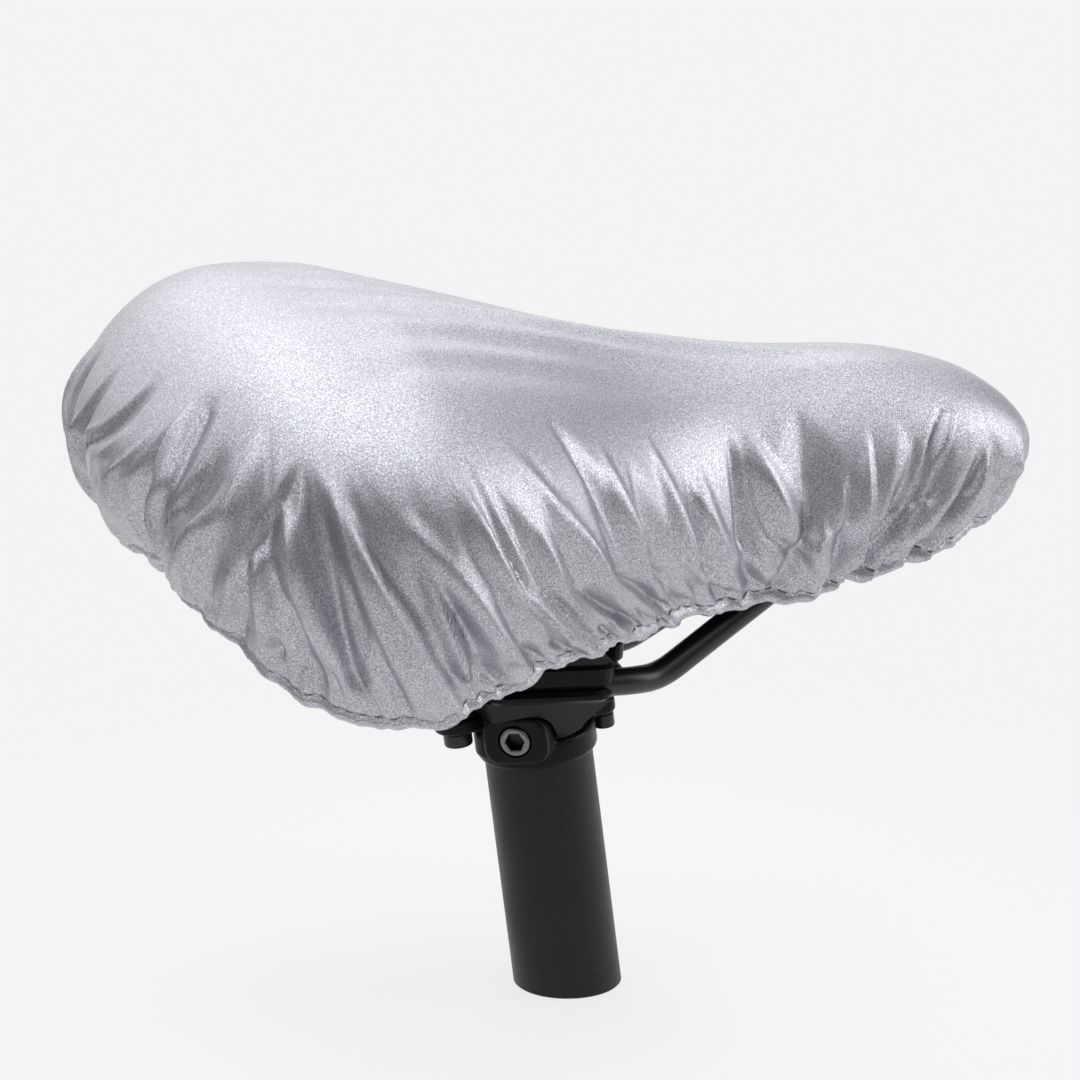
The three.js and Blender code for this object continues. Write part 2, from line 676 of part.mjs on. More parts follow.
const blackPaint = { color: 0x1d1d1e, roughness: 0.55, metalness: 0.2 };
const satinBlack = { color: 0x19191a, roughness: 0.38, metalness: 0.5 };
const boltSteel = { color: 0x4d4b4c, roughness: 0.35, metalness: 0.9 };
const silverCloth = { color: 0xb9b9be, roughness: 0.5, metalness: 0.35 };
const blackPadding = { color: 0x222224, roughness: 0.7, metalness: 0 };

const group = new THREE.Group();

function addPiece(name, geometry, look) {
  const mesh = new THREE.Mesh(geometry, new THREE.MeshStandardMaterial(look));
  mesh.name = name;
  group.add(mesh);
}

addPiece("cover", coverGeometry(), silverCloth);
addPiece("saddle", geometryOf(saddleSolid()), blackPadding);
addPiece("nose_bracket", geometryOf(cutForRailEnds(noseBracketSolid(0))), satinBlack);
addPiece("rail_right", mergedGeometry(railGeometry(-1, railRadius, 0)), satinBlack);
addPiece("rail_left", mergedGeometry(railGeometry(1, railRadius, 0)), satinBlack);
addPiece("clamp_top", geometryOf(clampTopSolid()), blackPaint);
addPiece("clamp_base", geometryOf(clampBaseSolid()), blackPaint);
addPiece("collar", geometryOf(collarSolid()), blackPaint);
for (const ear of ears) {
  addPiece(`bolt_${ear.name}`, geometryOf(uprightBoltSolid(ear)), boltSteel);
}
addPiece("bolt_side", geometryOf(sideBoltSolid()), boltSteel);
addPiece("seat_post", geometryOf(postSolid()), blackPaint);

export default group;
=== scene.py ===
"""A silver reflective saddle cover on a bicycle saddle, its clamp and a cut-off seat post.

Sizes are in millimetres and are turned to metres where a mesh is made. +X points to the
saddle's nose, +Y to its left and +Z up. The origin is the middle of the post's foot.
"""

import math

import bmesh
import bpy
import numpy as np
from mathutils import Matrix, Vector


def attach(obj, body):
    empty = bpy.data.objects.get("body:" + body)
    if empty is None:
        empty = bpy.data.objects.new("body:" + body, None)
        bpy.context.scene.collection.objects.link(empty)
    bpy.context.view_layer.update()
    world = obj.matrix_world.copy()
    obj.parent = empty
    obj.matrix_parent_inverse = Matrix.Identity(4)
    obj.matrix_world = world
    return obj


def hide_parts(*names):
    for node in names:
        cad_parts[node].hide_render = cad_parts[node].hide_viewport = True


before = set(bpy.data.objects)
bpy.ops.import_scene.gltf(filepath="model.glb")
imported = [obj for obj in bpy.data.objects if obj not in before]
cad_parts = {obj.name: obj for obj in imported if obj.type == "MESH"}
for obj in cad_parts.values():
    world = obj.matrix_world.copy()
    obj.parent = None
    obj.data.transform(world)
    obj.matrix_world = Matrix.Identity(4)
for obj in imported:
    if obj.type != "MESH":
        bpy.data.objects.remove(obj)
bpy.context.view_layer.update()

bl_info = {
    "name": "Saddle cover",
    "version": (1, 0, 0),
    "blender": (4, 5, 0),
    "location": "3D View > Sidebar > Saddle cover",
    "description": "Builds a gathered cloth cover on a bicycle saddle with its clamp and post",
    "category": "Object",
}

MM = 0.001

# The cover's smooth form, fitted to the photograph a little closer than the solid

REAR_END, NOSE_END = -121.5, 123.5
REAR_HALF_WIDTH, NOSE_HALF_WIDTH = 94.8, 33.5
TAPER_START, TAPER_END = -69.5, 44.5
REAR_BLUNTNESS, NOSE_BLUNTNESS = 0.59, 0.54
CROWN_HEIGHT_POWER = 1.92
WIDEST_DOWN = 0.6
HEM_TURN = math.radians(40)
TUCK_POWER = 1.5

# Heights of the crown, the widest line and the hem, how far the hem is drawn in, and the
# power that says how square the shoulder is: at the waist the cloth slopes straight down
STATIONS = {
    "x": (-125, -98, -61, -24, 14, 51, 89, 128),
    "spine": (166, 187, 187.5, 180, 170.5, 163, 156.8, 142.5),
    "edge": (153, 143, 136, 129, 123, 121.5, 125, 129),
    "hem": (128, 103.5, 100, 106, 102, 101, 107.5, 115),
    "tuck": (14, 16.5, 17, 15, 13, 12, 11, 13.5),
    "shoulder": (4.2, 3.6, 3.1, 2.3, 1.75, 1.8, 2.7, 3.6),
}

# Main folds: turn round the cover in degrees and way down from the crown, 0, to the hem, 1,
# at the top and the foot, then half width and rise in mm, and how much wider the side
# towards the nose is than the other on the right half of the cover
FOLD_COLUMNS = ("turn", "down", "foot_turn", "foot_down", "width", "rise", "skew")
FOLDS = (
    # Rear, from the left's deep pocket to the widest part of the right side
    (177, 0.3, 172, 0.9, 5, -2.8, 0.2),
    (182, 0.26, 178, 0.6, 4.5, -2.4, 0.2),
    (187, 0.34, 177, 1, 3.5, 2.4, 0.1),
    (190, 0.33, 181, 1, 6.5, -8.5, 0.08),
    (193, 0.34, 186, 1, 4, 3, -0.1),
    (192, 0.28, 189, 0.5, 4, 2.4, 0),
    (197, 0.24, 194, 0.48, 4, -2.6, 0.2),
    (203, 0.36, 193, 0.65, 7, -3.2, 0.3),
    (210, 0.33, 204, 0.58, 6, 1.8, 0),
    (206, 0.5, 199, 0.9, 6, -2.6, 0),
    (211, 0.58, 199, 0.94, 4, 2.4, -0.2),
    (210, 0.6, 203, 1, 6, -3.2, 0),
    (212, 0.58, 211, 0.88, 3.5, 2.2, 0),
    # Right side: the long folds that lean from the wide rear towards the nose
    (218, 0.38, 210, 0.62, 4, -2.6, 0.2),
    (216, 0.66, 219, 1, 6.5, -4, 0.2),
    (219, 0.66, 221, 0.9, 4, 2.6, 0),
    (215, 0.44, 224, 0.85, 5.5, 3.6, -0.3),
    (219, 0.38, 226, 0.88, 6, -4.4, 0.2),
    (220, 0.37, 238, 0.78, 5.5, 3.4, -0.3),
    (225, 0.42, 243, 0.94, 6, -4.2, 0.3),
    (226, 0.6, 239, 0.95, 6, 2.8, 0),
    (233, 0.45, 243, 0.62, 5, 2.2, 0),
    (235, 0.54, 248, 0.97, 4, 3.6, -0.3),
    (237, 0.55, 246, 0.95, 5, -4.2, 0.3),
    (239, 0.6, 248, 1, 4.5, -3.2, 0.2),
    (240, 0.38, 264, 0.98, 5, 4, -0.3),
    (242, 0.57, 254, 0.97, 5, 3.2, -0.2),
    (245, 0.38, 265, 0.95, 6, -4.6, 0.3),
    (245, 0.58, 254, 0.94, 4.5, -4, 0.2),
    (249, 0.32, 269, 0.7, 6, 2.8, -0.2),
    (252, 0.4, 269, 0.92, 6, -4.2, 0.3),
    (252, 0.46, 265, 0.94, 5, 3.4, -0.2),
    (257, 0.28, 271, 0.66, 5, -2.8, 0.2),
    (260, 0.4, 277, 0.94, 6, -4, 0.3),
    (259, 0.48, 273, 0.96, 5, 3.2, -0.2),
    (264, 0.34, 276, 0.8, 5, 2.6, -0.2),
    # Waist and nose, where the folds lean back
    (268, 0.38, 280, 1, 8, -4.8, 0.2),
    (272, 0.34, 284, 0.84, 5, 3, 0),
    (277, 0.44, 285, 0.96, 4.5, -3.2, 0.2),
    (279, 0.4, 287, 0.94, 6, 3.2, 0),
    (284, 0.35, 289, 0.96, 6, -4.8, 0.2),
    (286, 0.4, 296, 0.84, 5, -3.6, 0.2),
    (287, 0.33, 296, 0.75, 6, 3, 0),
    (293, 0.7, 292, 1, 4, -3.6, 0),
    (295, 0.28, 295, 0.65, 9, -2.6, 0),
    (301, 0.45, 299, 1, 4.5, -2.8, 0.2),
    (304, 0.34, 302, 0.96, 4, 3, -0.2),
    (309, 0.48, 302, 0.98, 5, -5.2, 0.2),
    (312, 0.38, 303, 0.9, 4, -2.2, 0.2),
    (318, 0.28, 304, 0.95, 3.8, -5.2, 0.3),
    (321, 0.25, 306, 0.96, 3.4, 3.8, -0.3),
    (318, 0.42, 309, 0.8, 6, -2.4, 0),
    (326, 0.44, 312, 1, 3.6, -5.4, 0.3),
    (329, 0.44, 316, 0.96, 3.2, 3.2, -0.2),
    (338, 0.55, 332, 1, 4, -3, 0.2),
    (340, 0.5, 333, 0.95, 4, 1.8, 0),
    (350, 0.4, 352, 0.96, 4.5, -2.2, 0),
    # Left side, which the photograph doesn't show
    (14, 0.4, 22, 0.9, 5.8, -3.2, 0),
    (37, 0.35, 50, 0.9, 5.8, -4.2, 0.2),
    (48, 0.4, 62, 0.96, 5.8, -3.8, 0.2),
    (64, 0.45, 70, 0.9, 5.5, 2.6, 0),
    (80, 0.45, 73, 0.96, 7, -4, 0),
    (93, 0.48, 82, 0.9, 7, -4.2, 0.2),
    (99, 0.42, 90, 0.96, 6, 3, 0),
    (104, 0.45, 92, 0.85, 7.5, -4.2, 0.2),
    (110, 0.55, 103, 1, 6.5, -4.6, 0.2),
    (119, 0.5, 111, 1, 6.5, -5, 0.2),
    (124, 0.5, 117, 1, 7, 4, -0.2),
    (131, 0.45, 121, 1, 7, -5.6, 0.3),
    (138, 0.48, 132, 0.95, 7, 4.4, -0.2),
    (144, 0.42, 139, 0.95, 7, -5.6, 0.2),
    (152, 0.5, 150, 1, 7, -5, 0),
    (160, 0.36, 162, 0.9, 8, 3.6, 0),
    (168, 0.32, 171, 0.95, 7, -5, 0),
)
# Deepest trough and highest ridge that the folds reach together, in mm
FOLD_LIMITS = (-8.0, 3.6)
# A fold grows over this share of its length, and one whose foot lies further down than
# this runs to the hem
FOLD_GROWTH, RUNS_OUT = 0.45, 0.92

# Lesser folds, the long ones and then the short ones that fan out of the hem: how many,
# the ways down between which they start, and their widths in mm
LESSER_FOLDS = (
    {"count": 170, "tops": (0.32, 0.66), "widths": (3.0, 7.0)},
    {"count": 280, "tops": (0.72, 0.92), "widths": (1.6, 3.4)},
)
# How far down a long one runs, its lowest foot above the hem, and the share that reach it
FOLD_LENGTHS, LAST_FOOT, TO_HEM_SHARE = (0.3, 0.5), 0.91, 0.55
# Rise for each mm of width, the share of troughs, and how far the two sides may differ
RISE_SHARES, TROUGH_SHARE, SKEWS = (0.2, 0.5), 0.55, (-0.3, 0.3)
# They lean as the main ones near them, give or take this many mm for the whole way down.
# Between the clean turns they rise only this share, so that the main ones show
LEAN_SPREAD = 18
CLEAN_TURNS = ((176, 197), (300, 345))
CLEAN_SHARE = 0.45

# The folded cloth lies this far inside the smooth form, and above the hem this far outside
INSIDE, SWELL = 1.2, 0.4

# Soft creases over the crown, as lines seen from above, with width and rise in mm
CREASE_COLUMNS = ("x", "y", "to_x", "to_y", "width", "rise")
CREASES = (
    (-82, 8, 40, 0, 4, -0.9),
    (-60, 0, 30, -3, 3.5, 0.7),
    (-78, -14, 36, -6, 4, -1.1),
    (-66, -26, 20, -10, 3.5, 0.8),
    (-84, -40, 30, -12, 4.5, -1.2),
    (-58, -44, 6, -22, 4, 0.7),
    (-84, -58, 34, -15, 5, -1.2),
    (-70, 20, 20, 6, 4, -0.8),
    (-60, 34, 20, 10, 5, -1.0),
    (-80, 52, 10, 22, 5, -1.0),
    (10, -8, 70, -4, 3.5, -0.7),
    (22, 4, 86, 2, 3.5, -0.6),
    (34, -14, 92, -9, 3, 0.6),
)

# Places where the elastic pinches the hem: turn in degrees and depth in mm
PINCHES = (
    (189, 3), (204, 1.6), (211, 2), (219, 2.6), (228, 2.4), (237, 1.6), (244, 3),
    (249, 2.6), (254, 2.8), (258, 2.4), (265, 2.6), (271, 1.6), (275, 1.4), (283, 2.2),
    (292, 2.4), (298, 1.6), (303, 1.8), (310, 1.6), (319, 1.2), (331, 1.6), (350, 1.4),
    (16, 1.4), (38, 1.8), (52, 1.6), (66, 2), (78, 1.8), (88, 2.2), (97, 2.4), (103, 2.6),
    (110, 2.4), (116, 2.6), (123, 2.4), (131, 2.2), (139, 2.6), (147, 2), (156, 1.8),
    (165, 2.2), (175, 1.8),
)
PINCH_WIDTH = 3.2

# Pitch of the wide and the fine gathers at the hem, in mm, and the waves by which they
# wander round it: size, length for each radian, both in mm, and shift
WIDE_PLEAT, FINE_PLEAT = 15.3, 3.9
WANDER = ((9, 31, 0), (6, 17, 1), (3, 9, 2))

# Hem: the cloth turns in round the elastic, runs up inside and is sewn down
HEM_RADIUS, HEM_INSIDE, HEM_ROWS = 1.3, 4.0, 4
CHANNEL_PUFF, CHANNEL_WIDTH = 0.7, 1.4
STITCH_GROOVE, GROOVE_WIDTH = 1.0, 0.55
STITCH_HEIGHT, STITCH_RADIUS, STITCH_SIDES = 3.4, 0.28, 6

# Grid of the cover: coarse columns down to the shoulder, three times as many below it
CROWN_COLUMNS = 240
CROWN_ROWS = 26
SHOULDER_DOWN = 0.28
SKIRT_ROWS = 31
FOOT_DOWN = 0.86
FOOT_ROWS = 18
FINE = 3

UP = np.array((0.0, 0.0, 1.0))

# What the cover is pulled over. Where a piece passes through another it has this gap
PIECE_GAP = 0.4

# The saddle is the cover's smooth form drawn in and lowered
SADDLE_INSET = 13.2
SADDLE_CROWN_DROP, SADDLE_EDGE_DROP = 5.0, 3.0
SADDLE_RIM, SADDLE_RIM_TUCK, SADDLE_RIM_LIFT = 7.0, 0.09, 6.0
PAD_DEPTH, PAD_WALL = 8.4, 0.13
SHELL_TOP, SHELL_SIDE = 8.9, 0.14
SHELL_DEPTH, SHELL_WALL = 12.0, 0.19
SADDLE_COLUMNS, SADDLE_ROWS, SIDE_ROWS = 180, 22, 4
# Blocks under the saddle that hold the rails' ends: middle, length, width, low and high
REAR_SOCKETS = ((-88, 33.5, 15, 14, 131, 168), (-88, -33.5, 15, 14, 131, 168))
NOSE_BOSS = (89, 0, 14, 24, 134.4, 146)
NOSE_BRACKET = (89, 0, 15, 24, 116.5, 134)

RAIL_RADIUS = 3.5
RAIL_SPACING = 18.0
RAIL_ROUTE = (
    (-90, 33.5, 144), (-84, 32, 126), (-50, RAIL_SPACING, 90.2), (9, RAIL_SPACING, 85),
    (19, 14, 83.8), (75, 7.5, 116), (92, 7.5, 127),
)
RAIL_BEND = 13.0

POST_LEAN = math.radians(7.2)
POST_RADIUS = 13.6
POST_TOP = 70.8
FOOT_BEVEL, TOP_BEVEL = 0.35, 0.4
COLLAR_RADIUS, COLLAR_BEVEL = 15.1, 0.8
COLLAR_LOW, COLLAR_HIGH = 64.0, 71.0
LUG_TURN = math.radians(35)
LUG_HEIGHT = 74.0
LUG_WIDTH, LUG_TALL, LUG_CORNER = 16.4, 12.8, 4.0
LUG_BACK, LUG_FACE, LUG_BEVEL = 11.2, 19.2, 0.9
SIDE_BOLT_RADIUS, SIDE_BOLT_LENGTH, SOCKET_FLAT = 3.9, 3.8, 4.3

# Ears of the collar and their bolts, along the post's own axes
EARS = (
    {"name": "rear", "x": -20.5, "radius": 5.6, "top": 78.6, "root_x": -10.5, "head": 3.6,
     "bolt_top": 94.0},
    {"name": "front", "x": 18.2, "radius": 3.4, "top": 73.6, "root_x": 11.0, "head": 2.7,
     "bolt_top": 90.0},
)
EAR_THICKNESS, EAR_BEVEL = 4.0, 0.7
BOLT_SHAFT, BOLT_HEAD_HEIGHT = 2.4, 3.7


def smooth_step(value, low, high):
    """Zero below low, one above high, and an S-shaped cubic between them."""
    t = np.clip((value - low) / (high - low), 0, 1)
    return t * t * (3 - 2 * t)


def along(column, x):
    """A station column at x: cubic curves whose slope at a station is its neighbours' mean."""
    stops = np.array(STATIONS["x"], float)
    values = np.array(STATIONS[column], float)
    slopes = np.diff(values) / np.diff(stops)
    at_stop = np.concatenate([slopes[:1], (slopes[1:] + slopes[:-1]) / 2, slopes[-1:]])
    i = np.clip(np.searchsorted(stops, x, side="right") - 1, 0, len(stops) - 2)
    h = stops[i + 1] - stops[i]
    t = np.clip((x - stops[i]) / h, 0, 1)
    blend = smooth_step(t, 0, 1)
    curl = h * t * (1 - t) * ((1 - t) * at_stop[i] - t * at_stop[i + 1])
    return values[i] * (1 - blend) + values[i + 1] * blend + curl


def outline(angle):
    """Widest line seen from above: x by the cosine, y by a power of the sine times a half
    width that tapers from rear to nose. Also the point of the spine that a section faces."""
    c, s = np.cos(angle), np.sin(angle)
    x = (REAR_END + NOSE_END) / 2 + (NOSE_END - REAR_END) / 2 * c
    taper = smooth_step(x, TAPER_START, TAPER_END)
    half = REAR_HALF_WIDTH + (NOSE_HALF_WIDTH - REAR_HALF_WIDTH) * taper
    blunt = REAR_BLUNTNESS + (NOSE_BLUNTNESS - REAR_BLUNTNESS) * smooth_step((c + 1) / 2, 0, 1)
    y = half * np.sign(s) * np.abs(s) ** blunt
    spine_x = np.clip(
        x, REAR_END + 0.75 * REAR_HALF_WIDTH, NOSE_END - 0.75 * NOSE_HALF_WIDTH
    )
    return x, y, spine_x, np.hypot(x - spine_x, y)


def smooth_cover(angle, down):
    """Cover without folds. Above the widest line a section is a quarter of a superellipse
    from the spine; below it a flatter arc that draws in to the hem."""
    x, y, spine_x, reach = outline(angle)
    edge = along("edge", x)
    a = (1 - np.clip(down / WIDEST_DOWN, 0, 1)) * math.pi / 2
    k_upper = np.maximum(np.cos(a), 0) ** (2 / along("shoulder", x))
    x_upper = spine_x + (x - spine_x) * k_upper
    z_upper = edge + (along("spine", x_upper) - edge) * np.sin(a) ** (2 / CROWN_HEIGHT_POWER)
    t = np.clip((down - WIDEST_DOWN) / (1 - WIDEST_DOWN), 0, 1)
    k_lower = 1 - along("tuck", x) * t ** TUCK_POWER / reach
    z_lower = edge - (edge - along("hem", x)) * np.sin(t * HEM_TURN) / math.sin(HEM_TURN)
    upper = down < WIDEST_DOWN
    k = np.where(upper, k_upper, k_lower)
    return np.stack(
        [spine_x + (x - spine_x) * k, y * k, np.where(upper, z_upper, z_lower)], axis=-1
    )


def unit(vectors):
    """The same directions with a length of one."""
    return vectors / np.maximum(np.linalg.norm(vectors, axis=-1, keepdims=True), 1e-12)


def cover_frame(angle, down):
    """Outward normal of the smooth cover, from the cross product of its two slopes, turned
    to straight up near the spine; and its length for each radian of turn."""
    step = 0.004
    d = np.clip(down, 0.03, 1 - step)
    around = smooth_cover(angle + step, d) - smooth_cover(angle - step, d)
    downward = smooth_cover(angle, d + step) - smooth_cover(angle, d - step)
    lift = smooth_step(down, 0, 0.1)[..., None]
    normal = unit(unit(np.cross(downward, around)) * lift + UP * (1 - lift))
    return normal, np.linalg.norm(around, axis=-1) / (2 * step)


def lengths_along(path):
    """The length of a line of points up to each of them."""
    steps = np.linalg.norm(np.diff(path, axis=0), axis=1)
    return np.concatenate([[0], np.cumsum(steps)])


# Angles from 0 to a full turn, and the length of the widest line up to each
ANGLES = np.linspace(0, 2 * math.pi, 7201)
GIRTHS = lengths_along(smooth_cover(ANGLES, WIDEST_DOWN))
GIRTH = GIRTHS[-1]


def girth_at(angle):
    """Length of the widest line from the nose round to an angle, in mm."""
    return np.interp(np.mod(angle, 2 * math.pi), ANGLES, GIRTHS)


def angle_at(girth):
    """The angle where the widest line has this length, in mm."""
    return np.interp(girth, GIRTHS, ANGLES)


def even_angles(count):
    """Angles of columns that stand evenly round the widest line."""
    return angle_at(np.arange(count) / count * GIRTH)


def soft_noise(points, size, seed):
    """Smooth random heights from -1 to 1: random values at the corners of cubes of this
    size, blended between them."""
    cells = 32
    lattice = np.random.default_rng(seed).uniform(-1, 1, (cells, cells, cells))
    place = points / size
    base = np.floor(place).astype(int)
    t = smooth_step(place - base, 0, 1)
    total = np.zeros(points.shape[:-1])
    for corner in np.ndindex(2, 2, 2):
        weight = np.prod(np.where(corner, t, 1 - t), axis=-1)
        i = np.mod(base + corner, cells)
        total += weight * lattice[i[..., 0], i[..., 1], i[..., 2]]
    return total


def cusp(distance):
    """One on a line and falling off exponentially beside it, with the tip a little rounded."""
    tip = 0.22
    return np.exp(tip - np.sqrt(distance * distance + tip * tip))


def tent(distance):
    """One on a line, with straight slopes beside it down to zero at a distance of one. The
    crest and the feet are rounded a little, as stiff cloth bends."""
    slope = 1 - np.sqrt(distance * distance + 0.016)
    return (slope + np.sqrt(slope * slope + 0.012)) / 2


def nearest(girth):
    """A length round the cover as the shorter way, from minus half a girth to half."""
    return np.mod(girth + GIRTH / 2, GIRTH) - GIRTH / 2


def fold_relief(girth, down, scale, rows):
    """Sum of folds. Each is a tent across a slanting line, with its own width on either
    side. It starts as a point, grows in width and height alike, and either ends in a
    point too or runs to the hem."""
    total = np.zeros(girth.shape)
    for row in rows:
        f = dict(zip(FOLD_COLUMNS, row))
        top, foot = girth_at(np.radians((f["turn"], f["foot_turn"])))
        s = (down - f["down"]) / (f["foot_down"] - f["down"])
        grown = np.clip(s / FOLD_GROWTH, 0, 1)
        if f["foot_down"] <= RUNS_OUT:
            grown = np.minimum(grown, np.clip((1.15 - s) / 0.65, 0, 1))
        grown = np.sin(grown * math.pi / 2)
        away = nearest(girth - top - nearest(foot - top) * s)
        lopsided = 1 + 2.2 * f["skew"] * np.tanh(away)
        width = f["width"] * (0.2 + 0.8 * grown) * lopsided
        total += f["rise"] * grown * tent(away * scale / width)
    return total * (1 - 0.7 * smooth_step(down, 0.87, 1.0))


def in_ranges(random, key):
    """Random values for the long and then the short lesser folds, each in their own range."""
    return np.concatenate([random.uniform(*kind[key], kind["count"]) for kind in LESSER_FOLDS])


def small_folds(seed=7):
    """Lesser folds at random places of the skirt: long ones from the shoulder down, more
    than half of them to the hem, then short ones that fan out of the hem. Each leans
    nearly as the main folds round it do."""
    long, short = (kind["count"] for kind in LESSER_FOLDS)
    count = long + short
    random = np.random.default_rng(seed)
    main = np.array(FOLDS)
    top, foot = girth_at(np.radians(main[:, 0])), girth_at(np.radians(main[:, 2]))
    across = nearest(foot - top)
    lean = across / (main[:, 3] - main[:, 1])
    starts = random.uniform(0, GIRTH, count)
    leans = np.interp(starts, top + across / 2, lean, period=GIRTH)
    tops = in_ranges(random, "tops")
    feet = np.minimum(tops + random.uniform(*FOLD_LENGTHS, count), LAST_FOOT)
    feet[random.random(count) < TO_HEM_SHARE] = 1.0
    feet[long:] = 1.0
    leans += random.normal(0, LEAN_SPREAD, count)
    widths = in_ranges(random, "widths")
    rises = widths * random.uniform(*RISE_SHARES, count)
    rises *= np.where(random.random(count) < TROUGH_SHARE, -1, 1)
    skews = random.uniform(*SKEWS, count)
    turns = np.degrees(angle_at(starts))
    for low, high in CLEAN_TURNS:
        rises *= np.where((turns > low) & (turns < high), CLEAN_SHARE, 1)
    ends = np.mod(starts + leans * (feet - tops), GIRTH)
    foot_turns = np.degrees(angle_at(ends))
    return np.stack([turns, tops, foot_turns, feet, widths, rises, skews], axis=1)


SMALL_FOLDS = small_folds()


def crease_relief(x, y):
    """Sum of soft creases over the crown: a bell across a straight line seen from above."""
    total = np.zeros(x.shape)
    for row in CREASES:
        c = dict(zip(CREASE_COLUMNS, row))
        dx, dy = c["to_x"] - c["x"], c["to_y"] - c["y"]
        s = ((x - c["x"]) * dx + (y - c["y"]) * dy) / (dx * dx + dy * dy)
        aside = ((x - c["x"]) * dy - (y - c["y"]) * dx) / math.hypot(dx, dy)
        ends = smooth_step(s, -0.1, 0.35) * (1 - smooth_step(s, 0.7, 1.15))
        total += c["rise"] * ends * np.exp(-((aside / c["width"]) ** 2))
    return total


def pinch_relief(girth, down):
    """Valleys that run up from the hem where the elastic draws it in."""
    total = np.zeros(girth.shape)
    for turn, depth in PINCHES:
        away = nearest(girth - girth_at(math.radians(turn)))
        width = PINCH_WIDTH * (1 + 2.6 * (1 - smooth_step(down, 0.8, 1.0)))
        total -= 0.6 * depth * smooth_step(down, 0.76, 0.94) * cusp(away / width)
    return total * (1 - 0.75 * smooth_step(down, 0.86, 1.0))


def pleats(length, pitch):
    """A run of rounded pleats with sharp valleys, about even in height over its pitch."""
    return np.abs(np.sin(math.pi * length / pitch)) - 0.6


def gather_relief(girth, down, place):
    """Gathers at the hem: a wide and a fine run of rounded pleats, each of uneven pitch and
    depth, that die out up the skirt."""
    wander = sum(size * np.sin(girth / length + shift) for size, length, shift in WANDER)
    wide = pleats(girth + wander, WIDE_PLEAT)
    wide *= 0.9 * (0.65 + 0.35 * soft_noise(place, size=17, seed=31))
    wide *= smooth_step(down, 0.72, 0.9) * (1 - 0.8 * smooth_step(down, 0.9, 1))
    fine = pleats(girth + 0.35 * wander, FINE_PLEAT)
    fine *= 0.45 * (0.55 + 0.45 * soft_noise(place, size=12, seed=32))
    fine *= smooth_step(down, 0.88, 0.95) * (1 - 0.5 * smooth_step(down, 0.95, 1))
    return wide + fine


def hem_distance(angle, down):
    """Length of cloth left to the hem, in mm, near the skirt's foot."""
    skirt = smooth_cover(angle, 1.0) - smooth_cover(angle, FOOT_DOWN)
    return np.linalg.norm(skirt, axis=-1) * (1 - down) / (1 - FOOT_DOWN)


def down_at(angle, distance):
    """The way down at a length of cloth above the hem."""
    return 1 - (1 - FOOT_DOWN) * distance / hem_distance(angle, FOOT_DOWN)


def channel_relief(angle, down):
    """The hem's channel: it puffs out round the elastic, under a groove along the seam."""
    distance = hem_distance(angle, down)
    puff = CHANNEL_PUFF * np.exp(-(((distance - STITCH_HEIGHT / 2) / CHANNEL_WIDTH) ** 2))
    groove = STITCH_GROOVE * np.exp(-(((distance - STITCH_HEIGHT) / GROOVE_WIDTH) ** 2))
    return puff - groove


def drawn_in(down):
    """How far the folded cloth lies inside the smooth form, and how far it swells out again
    above the hem."""
    inside = INSIDE * smooth_step(down, 0.32, 0.6)
    return inside - (INSIDE + SWELL) * smooth_step(down, 0.6, 0.9)


def cover_point(angle, down):
    """A point of the cloth and its smooth normal: the smooth form raised by all reliefs."""
    base = smooth_cover(angle, down)
    normal, per_radian = cover_frame(angle, down)
    scale = per_radian / cover_frame(angle, WIDEST_DOWN)[1]
    girth = girth_at(angle)
    skirt = smooth_step(down, 0.3, 0.6)
    relief = fold_relief(girth, down, scale, (*FOLDS, *SMALL_FOLDS))
    deepest, highest = FOLD_LIMITS
    limit = np.where(relief < 0, -deepest, highest)
    relief = limit * np.tanh(relief / limit) - drawn_in(down)
    relief += crease_relief(base[..., 0], base[..., 1])
    relief += soft_noise(base, size=17, seed=11) * (0.08 + 0.2 * skirt)
    relief += soft_noise(base, size=8, seed=12) * 0.06 * skirt
    relief += pinch_relief(girth, down) + gather_relief(girth, down, base)
    relief += channel_relief(angle, down)
    return base + normal * relief[..., None], normal


def closed_rows(rows, columns, start=0):
    """Quads between rows of points that run round and close on themselves."""
    i = np.arange(columns)
    n = (i + 1) % columns
    j = np.arange(rows - 1)[:, None] * columns + start
    quads = np.stack([j + i, j + columns + i, j + columns + n, j + n], axis=-1)
    return quads.reshape(-1, 4)


def fan_rows(coarse_start, columns, fine_start):
    """Triangles between a row of columns and a row below it with three times as many."""
    i = np.arange(columns)
    a, b = coarse_start + i, coarse_start + (i + 1) % columns
    f = fine_start + 3 * i
    last = fine_start + (3 * i + 3) % (3 * columns)
    return np.concatenate([
        np.stack([a, f, f + 1], axis=1),
        np.stack([a, f + 1, f + 2], axis=1),
        np.stack([a, f + 2, b], axis=1),
        np.stack([b, f + 2, last], axis=1),
    ])


def even_downs(top, foot, count):
    """Ways down from one place to another, evenly spaced on a mean section."""
    fine = np.linspace(top, foot, 800)
    grid = smooth_cover(*np.meshgrid(even_angles(36), fine))
    steps = np.linalg.norm(np.diff(grid, axis=0), axis=2).mean(axis=1)
    lengths = np.concatenate([[0], np.cumsum(steps)])
    return np.interp(np.linspace(0, lengths[-1], count), lengths, fine)


